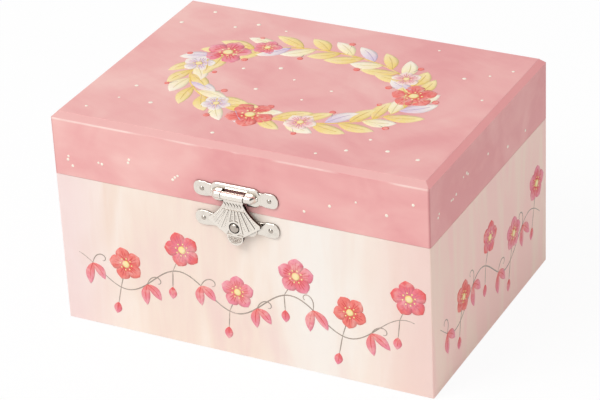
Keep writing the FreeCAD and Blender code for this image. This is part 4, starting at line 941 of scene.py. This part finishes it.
class Canvas:
    """Thin paint on one flat face of the box, across and up from the face's middle."""

    EDGE = 0.03
    SUNK = 0.08
    LAYER = 0.02
    SWELL = 0.05

    def __init__(self, middle, across, up):
        self.middle = Vector(middle)
        self.across = Vector(across)
        self.up = Vector(up)
        self.out = self.across.cross(self.up)
        self.bm = bmesh.new()
        self.paint = self.bm.verts.layers.float_color.new("paint")

    def at(self, u, v, lift):
        return self.middle + self.across * u + self.up * v + self.out * lift

    def vertex(self, u, v, lift, colour):
        vertex = self.bm.verts.new(self.at(u, v, lift))
        vertex[self.paint] = colour
        return vertex

    def close(self, rim, outline, colour):
        """Carries the rim down into the board and closes it there."""
        foot = [self.vertex(u, v, -self.SUNK, colour) for u, v in outline]
        skinned(self.bm, (rim, foot))
        self.bm.faces.new(foot[::-1])

    def strip(self, rows, colours, level):
        """A patch through rows of points, swelling between its two long edges."""
        last = len(rows[0]) - 1
        base = self.EDGE + self.LAYER * level
        lifts = [base + self.SWELL * (1 - (2 * k / last - 1) ** 2) for k in range(last + 1)]
        grid = [[self.vertex(u, v, lift, colour) for (u, v), lift in zip(row, lifts)]
                for row, colour in zip(rows, colours)]
        gridded(self.bm, grid)
        self.close(rim_of(grid), rim_of(rows), colours[0])

    def leaf(self, place, angle, length, width, colours, level=0, bend=0.0, blunt=1.0, rib=None):
        """A leaf or petal from its foot; blunt over 1 widens its tip, rib is a midrib's colour."""
        along = ring_point(angle)
        side = Vector((-along.y, along.x))
        rows = []
        tones = []
        for t in shares(LEAF_STEPS):
            middle = Vector(place) + along * length * t + side * bend * sin(pi * t)
            half = width / 2 * sin(pi * t ** blunt) ** LEAF_FULLNESS + LEAF_TIP
            rows.append([middle + side * half * share for share in LEAF_ACROSS])
            tones.append(blended(*colours, t))
        self.strip(rows, tones, level)
        if rib:
            self.stroke([row[2] for row in rows[:-2]], width * RIB_SHARE, rib, level + RIB_LEVEL)

    def stroke(self, points, width, colour, level=0):
        """A thin line of paint through points, finer towards its ends."""
        rows = []
        for n, point in enumerate(points):
            along = heading(points, n)
            half = width / 2 * (1 - STROKE_TAPER * (2 * n / (len(points) - 1) - 1) ** 4)
            side = Vector((-along.y, along.x)) * half
            rows.append([point - side, point, point + side])
        self.strip(rows, [colour] * len(rows), level)

    def stalk(self, foot, head):
        self.stroke(between(foot, head), STEM_W, STEM)

    def tendril(self, place, angle, turn):
        """A fine curl from place that winds up towards its end."""
        points = [place]
        for n in range(TENDRIL_STEPS):
            angle += turn * (TENDRIL_TURN + TENDRIL_WIND * (n / TENDRIL_STEPS) ** 2)
            points.append(points[-1] + ring_point(angle) * TENDRIL_STEP)
        self.stroke(points, STEM_W, STEM)

    def dot(self, place, radius, colours, level=0, sides=DAB_SIDES):
        """A round dab, domed in the middle."""
        base = self.EDGE + self.LAYER * level
        top = self.vertex(*place, base + self.SWELL * DAB_TOP, colours[0])
        rings = []
        for share, lift, colour in ((DAB_SHOULDER, self.SWELL, colours[0]), (1.0, 0.0, colours[1])):
            outline = [Vector(place) + ring_point(a) * radius * share for a in turns(sides)]
            rings.append([self.vertex(u, v, base + lift, colour) for u, v in outline])
        fanned(self.bm, rings[0], top)
        skinned(self.bm, rings)
        self.close(rings[1], outline, colours[1])

    def blossom(self, place, radius, colours, turn):
        """Round veined petals about a butter-coloured eye in a ring of stamens."""
        vein = blended(colours[0], DEEP, VEIN_DEPTH)
        veins_level = BLOSSOM_LEVEL + RIB_LEVEL + 1
        for n, angle in enumerate(turns(PETALS)):
            angle += turn
            width = radius * PETAL_WIDE / PETALS
            self.leaf(place, angle, radius, width, colours, BLOSSOM_LEVEL + n % 2, blunt=PETAL_BLUNT)
            for lean in (-VEIN_LEAN, 0.0, VEIN_LEAN):
                way = ring_point(angle + lean) * radius
                ends = (place + way * share for share in (VEIN_FROM, VEIN_TO - abs(lean) / 2))
                self.stroke(between(*ends, VEIN_STEPS), radius * VEIN_W, vein, veins_level)
        self.dot(place, radius * EYE_SHARE, (BUTTER, GOLD), veins_level + 1)
        for angle in turns(STAMENS):
            spot = place + ring_point(turn + angle + pi / STAMENS) * radius * STAMEN_RING
            self.dot(spot, radius * STAMEN_R, (BUTTER, GOLD), veins_level + 1, sides=STAMENS)

    def finish(self, name, body, slot):
        new_piece(name, self.bm, "gouache", body)


def scatter(chance, half_u, half_v, count, gap, taken=()):
    """Seeded places at least gap apart and clear of the taken (place, radius) discs."""
    places = []
    for _ in range(count * SCATTER_TRIES):
        place = Vector((chance.uniform(-half_u, half_u), chance.uniform(-half_v, half_v)))
        clear = all((place - p).length > r for p, r in taken)
        if clear and all((place - p).length > gap for p in places):
            places.append(place)
        if len(places) == count:
            break
    return places


def paint_lid_top():
    """A loose wreath of leaves, berries and blossoms, with small white dabs round it."""
    chance = random.Random(LID_SEED)
    canvas = Canvas((0, MIDDLE_Y, LID_HIGH.z), (1, 0, 0), (0, 1, 0))
    canvas.stroke([ring_point(a, *WREATH) for a in turns(WREATH_STEPS, closed=True)], WREATH_STALK_W, GOLD)
    for n, angle in enumerate(turns(WREATH_LEAVES)):
        foot = ring_point(angle, *WREATH)
        side = 1 if n % 2 else -1
        ahead = ring_point(angle + WREATH_AHEAD, *WREATH) - foot
        way = atan2(ahead.y, ahead.x) + side * WREATH_LEAN + chance.uniform(-WREATH_SWAY, WREATH_SWAY)
        tones = (GOLD, BUTTER) if n % 3 else (BUTTER, IVORY)
        if n % 7 == 3:
            tones = (LILAC, IVORY)
        canvas.leaf(foot, way, chance.uniform(*WREATH_LEAF_L), chance.uniform(*WREATH_LEAF_W), tones, n % 2,
                    bend=side * WREATH_BEND, rib=blended(tones[0], STEM, WREATH_RIB))
        if n % 3 == 1:
            berry = ring_point(angle, *(half + side * BERRY_OFF for half in WREATH))
            canvas.stalk(ring_point(angle - BERRY_BACK, *WREATH), berry)
            canvas.dot(berry, chance.uniform(*BERRY_R), (SALMON, CORAL), 1)
    for degrees, radius, tones in WREATH_BLOSSOMS:
        canvas.blossom(ring_point(radians(degrees), *WREATH), radius, tones, radians(degrees * 3))
    taken = [(ring_point(a, *WREATH), DAB_CLEAR) for a in turns(DAB_STEPS)]
    for place in scatter(chance, *DAB_AREA, DAB_COUNT, DAB_GAP, taken):
        canvas.dot(place, chance.uniform(*DAB_R), (IVORY, IVORY))
    canvas.finish("lid_top_paint", "lid", "lid_paper")


def paint_lid_side(name, middle, across, half_u, seed, taken):
    """Small white dabs in twos and threes on the lid's rim."""
    chance = random.Random(seed)
    canvas = Canvas(middle, across, (0, 0, 1))
    for place in scatter(chance, half_u - RIM_END, RIM_HALF_H, int(half_u / RIM_PITCH), RIM_GAP, taken):
        for n in range(chance.choice((1, 2, 3))):
            turn = chance.uniform(0, RIM_TURN)
            spot = place + ring_point(turn) * RIM_DAB_STEP * n
            canvas.dot(spot, chance.uniform(*RIM_DAB_R), (IVORY, IVORY))
    canvas.finish(name, "lid", "lid_paper")


def paint_base_side(name, middle, across, half_u, phase):
    """A waving stem along the wall with leaves, buds and blossoms."""
    chance = random.Random(phase)
    canvas = Canvas(middle, across, (0, 0, 1))
    reach = half_u - VINE_END
    waves = round(half_u / VINE_PITCH)

    def stem(share):
        swing = VINE_SWING * sin(2 * pi * waves * share + phase)
        return Vector((reach * (2 * share - 1), VINE_RISE + swing))

    canvas.stroke([stem(share) for share in shares(VINE_STEPS)], STEM_W * VINE_STEM, STEM)
    rib = blended(CORAL, DEEP, VINE_RIB)
    sprays = waves * SPRAYS_PER_WAVE
    for n in range(sprays):
        foot = stem((n + 0.5) / sprays)
        lean = (1 if n % 2 else -1) * chance.uniform(*SPRAY_LEAN)
        if n % 2 == 0:
            for k in (-1, 1):
                canvas.leaf(foot, lean + k * PAIR_LEAN, chance.uniform(*PAIR_LEAF_L), PAIR_LEAF_W,
                            (SALMON, ROSE), 1, bend=k * PAIR_BEND, rib=rib)
            canvas.tendril(foot, -lean, -1 if chance.random() < 0.5 else 1)
            continue
        head = foot + ring_point(lean) * chance.uniform(*HEAD_STALK)
        canvas.stalk(foot, head)
        tones = HEAD_TONES[n // 2 % len(HEAD_TONES)]
        canvas.blossom(head, chance.uniform(*HEAD_SIZE), tones, chance.uniform(0, HEAD_TURN))
        bud = foot + ring_point(-lean - BUD_LEAN) * chance.uniform(*BUD_STALK)
        canvas.stalk(foot, bud)
        canvas.leaf(bud, -lean - BUD_LEAN, BUD_L, BUD_W, (CORAL, ROSE), 1, rib=rib)
    canvas.finish(name, "base", "base_paper")


def paint_box():
    """Decorates all faces of the lid and the base."""
    lid_z = (LID_LOW.z + CEILING) / 2
    base_z = (BASE_LOW.z + BASE_HIGH.z) / 2
    paint_lid_top()
    sides = (("front", (0, BASE_LOW.y), (1, 0, 0), BASE_HIGH.x),
             ("right", (BASE_HIGH.x, MIDDLE_Y), (0, 1, 0), HALF_Y),
             ("back", (0, BASE_HIGH.y), (-1, 0, 0), BASE_HIGH.x),
             ("left", (BASE_LOW.x, MIDDLE_Y), (0, -1, 0), HALF_Y))
    for n, (side, (x, y), across, half) in enumerate(sides):
        taken = [(Vector((0, 0)), CLASP_CLEAR)] if side == "front" else ()
        paint_lid_side(f"lid_{side}_paint", (x, y, lid_z), across, half, n + RIM_SEED, taken)
        paint_base_side(f"base_{side}_paint", (x, y, base_z), across, half, n + VINE_SEED)


def squared(value):
    """A sine or cosine pushed outwards, which squares up a circle."""
    return copysign(abs(value) ** ROLL_SQUARE, value)


def roll_rows(length, width, height):
    """Rings along one foam roll, squared in section and drawn in towards its ends."""
    rows = []
    for share in shares(ROLL_STATIONS):
        along = 2 * share - 1
        end = max(0.0, 1 - abs(along) ** ROLL_END_POWER) ** (1 / ROLL_END_POWER)
        scale = lerp(ROLL_END_SIZE, 1, end)
        rows.append([Vector((along * length / 2,
                             squared(cos(angle)) * width / 2 * scale,
                             squared(sin(angle)) * height / 2 * scale + height / 2))
                     for angle in turns(ROLL_SIDES)])
    return rows


def inflated(piece, places, cap):
    """Swells the piece by a short cloth simulation; no point moves further than cap."""
    cloth = piece.modifiers.new("swell", "CLOTH")
    settings = cloth.settings
    settings.use_pressure = True
    settings.uniform_pressure_force = ROLL_PRESSURE
    settings.effector_weights.gravity = 0.0
    cloth.point_cache.frame_start = 1
    cloth.point_cache.frame_end = ROLL_FRAMES
    scene = bpy.context.scene
    for frame_number in range(1, ROLL_FRAMES + 1):
        scene.frame_set(frame_number)
    shown = piece.evaluated_get(bpy.context.evaluated_depsgraph_get())
    moved = [vertex.co.copy() for vertex in shown.data.vertices]
    piece.modifiers.remove(cloth)
    scene.frame_set(1)
    for vertex, place, swollen in zip(piece.data.vertices, places, moved):
        step = swollen - place
        vertex.co = place + step * min(1.0, cap / max(step.length, cap / 1000))


def make_cushion():
    """Velvet rolls side by side, swollen by simulation and held in the cushion's own space."""
    low, high = span("ring_cushion")
    size = high - low
    pitch = size.y / ROLL_COUNT
    bm = bmesh.new()
    for n in range(ROLL_COUNT):
        shift = Vector((0, (n + 0.5) * pitch - size.y / 2, ROLL_SLACK))
        rows = roll_rows(*(side - 2 * ROLL_SLACK for side in (size.x, pitch, size.z)))
        loft(bm, [[point + shift for point in row] for row in rows])
    cushion = new_piece("ring_rolls", bm, "velvet", "base", SIM_SCALE)
    vertices = cushion.data.vertices
    inflated(cushion, [vertex.co.copy() for vertex in vertices], ROLL_CAP * SIM_SCALE)
    per_roll = len(vertices) // ROLL_COUNT
    middle = Vector(((low.x + high.x) / 2, (low.y + high.y) / 2, low.z))
    for index, vertex in enumerate(vertices):
        place = vertex.co / SIM_SCALE
        roll_y = (index // per_roll + 0.5) * pitch - size.y / 2
        place.y = clamped(place.y, roll_y - pitch / 2, roll_y + pitch / 2)
        place.x = clamped(place.x, -size.x / 2, size.x / 2)
        place.z = clamped(place.z, 0.0, size.z)
        vertex.co = (middle + place) * MM
    smooth = cushion.modifiers.new("smooth", "SUBSURF")
    smooth.levels = smooth.render_levels = 1
    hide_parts("ring_cushion")


def make_felt():
    """The felt pad on the compartment's floor: soft-edged and a little uneven."""
    low, high = span("compartment_felt")
    size = high - low
    middle = (low + high) / 2

    def point(i, j, upper):
        across = 2 * i / FELT_COLUMNS - 1
        along = 2 * j / FELT_RANKS - 1
        x = across * (size.x / 2 - FELT_PLAY)
        y = along * (size.y / 2 - FELT_PLAY)
        x += FELT_WANDER * sin(y * FELT_EDGE_WAVES[0] + 1) * across ** FELT_EDGE_POWER
        y += FELT_WANDER * sin(x * FELT_EDGE_WAVES[1] + 2) * along ** FELT_EDGE_POWER
        wear = sin(x * FELT_WEAR_WAVES[0]) * sin(y * FELT_WEAR_WAVES[1] + 1)
        thick = size.z + FELT_WANDER * (wear - 1) / 2
        if max(abs(across), abs(along)) == 1:
            thick *= FELT_RIM
        return (middle.x + x, middle.y + y, low.z + thick * upper)

    bm = bmesh.new()
    rims = []
    for upper in (False, True):
        grid = [[bm.verts.new(point(i, j, upper)) for i in range(FELT_COLUMNS + 1)]
                for j in range(FELT_RANKS + 1)]
        gridded(bm, grid)
        rims.append(rim_of(grid))
    skinned(bm, rims)
    felt = new_piece("felt_pad", bm, "felt", "base")
    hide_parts("compartment_felt")


class HeadCanvas(Canvas):
    """Paint on the dancer's round head, from the middle of the face."""

    EDGE = 0.015
    SUNK = 0.05
    LAYER = 0.012
    SWELL = 0.012

    def at(self, u, v, lift):
        way = (self.out * HEAD_R + self.across * u + self.up * v).normalized()
        return self.middle + way * (HEAD_R + lift)


def arch(middle, half, rise):
    """Points of a shallow arch, up where rise is positive."""
    places = [2 * share - 1 for share in shares(ARCH_STEPS)]
    return [middle + Vector((half * t, rise * (1 - t * t))) for t in places]


def make_face():
    """A painted doll's face: closed eyes with lashes, brows, cheeks, nose and a small mouth."""
    face = HeadCanvas(HEAD, (1, 0, 0), (0, 0, 1))
    for side in (-1, 1):
        flip = Vector((side, 1))
        face.dot(CHEEK * flip, CHEEK_R, (BLUSH, SKIN))
        eye = arch(EYE * flip, EYE_HALF_W, -EYE_SAG)
        face.stroke(eye, LID_LINE, LASH, 2)
        for n in LASHES:
            out = Vector((side * LASH_LEAN + (n - ARCH_STEPS / 2) * LASH_SPREAD, -LASH_L))
            face.stroke(between(eye[n], eye[n] + out, 2), LASH_W, LASH, 2)
        face.stroke(arch(BROW_PLACE * flip, BROW_HALF_W, BROW_ARCH), BROW_W, BROW, 1)
    face.leaf(angle=0.0, colours=(LIPS, LIPS), level=1, **UPPER_LIP)
    face.leaf(angle=0.0, colours=(LIPS, ROSE), level=2, **LOWER_LIP)
    face.stroke(arch(NOSE, NOSE_HALF_W, -NOSE_W), NOSE_W, BLUSH, 1)
    face.finish("doll_face", "dancer", "skin_plastic")


def tube_rows(points, radius, taper=1.0):
    """Rings of a tube through points; its ends narrow to taper times its radius."""
    rows = []
    last = len(points) - 1
    normal = TUBE_START
    for n, point in enumerate(points):
        along = heading(points, n)
        normal = (normal - along * normal.dot(along)).normalized()
        across = along.cross(normal)
        near_end = min(1.0, TUBE_ENDS * min(n, last - n) / last)
        wide = radius * lerp(taper, 1, sin(near_end * pi / 2))
        rows.append([point + (normal * cos(a) + across * sin(a)) * wide for a in turns(TUBE_SIDES)])
    return rows


def make_hair():
    """Hair combed up over the head, with a wound bun and a ribbon round its foot."""
    side = Vector((1, 0, 0))
    along = CROWN.cross(side)

    def about(turn):
        return side * cos(turn) + along * sin(turn)

    rows = []
    out = shares(HAIR_STEPS)
    for radius, comb, order in ((HEAD_R + HAIR_T, HAIR_COMB, out), (HEAD_R - HAIR_T, 0.0, out[::-1])):
        for share in order:
            polar = radians(lerp(HAIR_FROM, HAIR_REACH, share))
            row = []
            for turn in turns(HAIR_SIDES):
                reach = polar * (1 + HAIR_LINE * cos(2 * turn))
                combed = radius + comb * cos(turn * HAIR_LOCKS) * sin(polar)
                row.append(HEAD + (CROWN * cos(reach) + about(turn) * sin(reach)) * combed)
            rows.append(row)
    lofted("hair", rows, "hair", "dancer")
    coil = []
    for share in shares(COIL_STEPS):
        wide = cos(share * COIL_CLOSE)
        rise = COIL_RISE * sin(share * COIL_ROUND) - COIL_SUNK
        coil.append(BUN + (about(2 * pi * COIL_TURNS * share) * wide + CROWN * rise) * BUN_R)
    lofted("bun", tube_rows(coil, COIL_R, COIL_TAPER), "hair", "dancer")
    band = [BUN + (about(a) - CROWN * RIBBON_DROP) * BUN_R for a in turns(RIBBON_STEPS, closed=True)]
    lofted("hair_ribbon", tube_rows(band, RIBBON_R), "satin", "dancer")


def make_tutu():
    """Gathered layers of net, each a thin wavy ring, under a narrow satin waistband."""
    low, high = span("dancer_tutu")
    middle = Vector(((low.x + high.x) / 2, (low.y + high.y) / 2, low.z))
    outer = (high.x - low.x) / 2
    waist = FIGURE_TALL * WAIST_SHARE
    outwards = shares(TUTU_STEPS)

    def at(turn, radius, rise):
        return middle + Vector((radius * cos(turn), radius * sin(turn), rise))

    def frilled(layer, turn, share):
        folds = TUTU_FOLDS - layer
        frill = sin(folds * turn + layer * TUTU_TWIST)
        frill += TUTU_RIPPLE * sin((2 * folds - 3) * turn + layer)
        lift = lerp(TUTU_LIFT_IN, 1, share)
        rise = TUTU_RISE + layer * TUTU_LIFT * lift - TUTU_SAG * share * share
        radius = lerp(waist, outer - TUTU_PLAY - layer * TUTU_STEP, share)
        radius += TUTU_SCALLOP * share * sin(TUTU_SCALLOPS * turn + layer)
        return at(turn, radius, rise + TUTU_WAVE * share ** TUTU_WAVE_POWER * frill)

    for layer in range(TUTU_LAYERS):
        bm = bmesh.new()
        rings = []
        for lift, order in ((TULLE_T / 2, outwards), (-TULLE_T / 2, outwards[::-1])):
            up = Vector((0, 0, lift))
            rings += [[bm.verts.new(frilled(layer, turn, share) + up) for turn in turns(TUTU_SIDES)]
                      for share in order]
        skinned(bm, rings + rings[:1])
        area = sum(face.calc_area() for face in bm.faces) / 2 * MM * MM
        skirt = new_piece(f"tutu_layer_{layer + 1}", bm, "tulle", "dancer")
        if layer == 0:
            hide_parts("dancer_tutu")
    band = [at(turn, waist, BAND_RISE) for turn in turns(BAND_STEPS, closed=True)]
    lofted("waistband", tube_rows(band, BAND_R), "satin", "dancer")


def on_clasp(x, out, rise):
    """A point out from the front face and up from the clasp's axis."""
    return Vector((x, BASE_LOW.y - out, HASP_AXIS_Z + rise))


def clasp_ring(x, drop, radius, out, sides):
    """A circle of points that faces out from the front."""
    return [on_clasp(x + radius * cos(a), out, radius * sin(a) - drop) for a in turns(sides)]


def bead(bm, x, drop, radius):
    """A low dome on the hasp's face, sunk a little into it."""
    rings = []
    for share, rise in BEAD_PROFILE:
        ring = clasp_ring(x, drop, radius * share, HASP_FACE + radius * rise, BEAD_SIDES)
        rings.append([bm.verts.new(point) for point in ring])
    skinned(bm, rings)
    fanned(bm, rings[-1], bm.verts.new(on_clasp(x, HASP_FACE + radius * BEAD_TOP, -drop)))
    bm.faces.new(rings[0][::-1])


def make_beads():
    """Rows of stamped beads between the fan's ribs and over the hasp's tab."""
    spread = atan2(FAN_HALF_W, FAN_DROP)
    bm = bmesh.new()
    for n in range(RIB_COUNT - 1):
        angle = spread * ((2 * n + 1) / (RIB_COUNT - 1) - 1)
        for k in range(BEADS_IN_ROW):
            reach = BEADS_FROM + k * BEAD_STEP
            x, drop = reach * sin(angle), reach * cos(angle)
            edge = FOOT_DROP - BEAD_RIM - max(0.0, abs(x) - FOOT_HALF_W) * FAN_EDGE_SLOPE
            if drop <= edge and hypot(x, drop - STUD_DROP) > EYE_RIM_R:
                bead(bm, x, drop, BEAD_R)
    for row in range(TAB_BEAD_ROWS):
        for n in range(-TAB_BEADS, TAB_BEADS + 1):
            x = (n + row % 2 / 2) * BEAD_STEP * TAB_BEAD_ACROSS
            down = TAB_BEADS_FROM + row * BEAD_STEP * TAB_BEAD_DOWN
            if hypot(x, down) < TAB_R - TAB_BEAD_RIM:
                bead(bm, x, TAB_DROP + down, BEAD_R * TAB_BEAD_SHARE)
    new_piece("hasp_beads", bm, "stamped", "hasp")


def make_stud_cap():
    """The stud's smooth round head in the hasp's eye."""
    rows = []
    for polar in quarter(CAP_STEPS):
        radius = max(CAP_R * cos(polar), CAP_TIP_R)
        rows.append(clasp_ring(0.0, STUD_DROP, radius, CAP_OUT + CAP_RISE * sin(polar), CAP_SIDES))
    lofted("stud_cap", rows, "nail", "base")


def drawn_in(outline, amount):
    """A closed outline, run anticlockwise, moved inwards square to its edges."""
    moved = []
    for k, point in enumerate(outline):
        before = (point - outline[k - 1]).normalized()
        after = (outline[(k + 1) % len(outline)] - point).normalized()
        way = (before + after).normalized()
        moved.append(point + Vector((-way.y, way.x)) * amount / max(MITRE_LIMIT, way.dot(after)))
    return moved


def raised_sheet(bm, outline, rise, height, rim, window=False):
    """A sheet on the front face with a rounded rim, its middle rise above the clasp's axis."""
    levels = [(0.0, 0.0)]
    for turn in quarter(RIM_STEPS):
        levels.append((rim * (1 - cos(turn)), height - rim * (1 - sin(turn))))
    levels.append((rim * RIM_FLAT, height))
    rows = []
    for inset, out in levels:
        ring = drawn_in(outline, inset)
        if window:
            half_w = WINDOW_HALF_W + inset * WINDOW_RIM
            top = WINDOW_TOP + inset * WINDOW_RIM
            foot = ring[0].y
            notch = ((-half_w, foot), (-half_w, top), (half_w, top), (half_w, foot))
            ring += [Vector(corner) for corner in notch]
        rows.append([on_clasp(point.x, out, rise + point.y) for point in ring])
    loft(bm, rows)


def ear_outline(side):
    """A nailed ear with a waist towards the plate's middle."""
    upper = []
    for turn in quarter(EAR_STEPS):
        x = lerp(EAR_FROM, EAR_TIP, sin(turn))
        lobe = clamped((x - EAR_WAIST) / (EAR_LOBE - EAR_WAIST), 0.0, 1.0)
        half = lerp(EAR_WAIST_H, EAR_HALF_H, lobe * lobe * (3 - 2 * lobe))
        tip = clamped((x - EAR_ROUND) / (EAR_TIP - EAR_ROUND), 0.0, 1.0)
        upper.append(Vector((side * x, half * (1 - tip ** EAR_BLUNT) ** (1 / EAR_BLUNT))))
    lower = [Vector((point.x, -point.y)) for point in upper[:-1]]
    outline = lower + upper[::-1]
    return outline if side > 0 else outline[::-1]


def pan_outline(half_w, half_h):
    """A rectangle with round corners, run from the right end of its lower edge."""
    outline = []
    for corner, (across, up) in enumerate(((1, -1), (1, 1), (-1, 1), (-1, -1))):
        middle = Vector((across * (half_w - PAN_CORNER), up * (half_h - PAN_CORNER)))
        for turn in quarter(PAN_STEPS):
            outline.append(middle + ring_point(turn + pi / 2 * (corner - 1)) * PAN_CORNER)
    return outline


def barrel_section():
    """Points up from the axis and out: half a tube that flares into the pan on both sides."""
    foot = LID_PAN_OUT - LID_PAN_ROUND / 2
    flare = [(BARREL_R + BARREL_FLARE * (1 - sin(turn)), lerp(foot, BARREL_OUT, 1 - cos(turn)))
             for turn in quarter(BARREL_SIDES)[:-1]]
    tube = [(BARREL_R * cos(2 * turn), BARREL_OUT + BARREL_R * sin(2 * turn))
            for turn in quarter(2 * BARREL_SIDES)]
    return flare + tube + [(-rise, out) for rise, out in flare[::-1]]


def make_barrel(bm, side):
    """Half of the tube that holds the hasp's pin, from the window to its rounded end."""
    section = barrel_section()
    foot = section[0][1]
    rows = []
    for turn in quarter(BARREL_STEPS):
        x = lerp(WINDOW_HALF_W, BARREL_END, sin(turn))
        past = max(0.0, (x - BARREL_ROUND) / (BARREL_END - BARREL_ROUND))
        size = max(SHEET_ROUND, 1 - past ** BARREL_TAPER)
        rows.append([on_clasp(side * x, lerp(foot, out, size), rise * sqrt(size))
                     for rise, out in section])
    loft(bm, rows)


def make_clasp_plates():
    """The stamped plates on the lid and the base: nailed ears, raised pans and the pin's tube."""
    plates = (("lid", "clasp_hinge_plate", LID_PLATE_RISE, LID_PAN, LID_PAN_OUT, LID_PAN_ROUND),
              ("base", "clasp_catch_plate", CATCH_RISE, CATCH_PAN, CATCH_PAN_OUT, CATCH_PAN_ROUND))
    for body, node, rise, pan, height, rim in plates:
        bm = bmesh.new()
        raised_sheet(bm, pan_outline(*pan), rise, height, rim, window=body == "lid")
        for side in (-1, 1):
            raised_sheet(bm, ear_outline(side), rise, SHEET_T, SHEET_ROUND)
            if body == "lid":
                make_barrel(bm, side)
        plate = new_piece(f"{body}_clasp_plate", bm, "plate", body)
        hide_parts(node)


make_camera()
make_world()
make_floor()
make_key_light()
make_finishes()
give_finishes()
paint_box()
make_cushion()
make_felt()
make_tutu()
make_hair()
make_face()
make_beads()
make_stud_cap()
make_clasp_plates()

bpy.context.scene.view_settings.view_transform = "Standard"
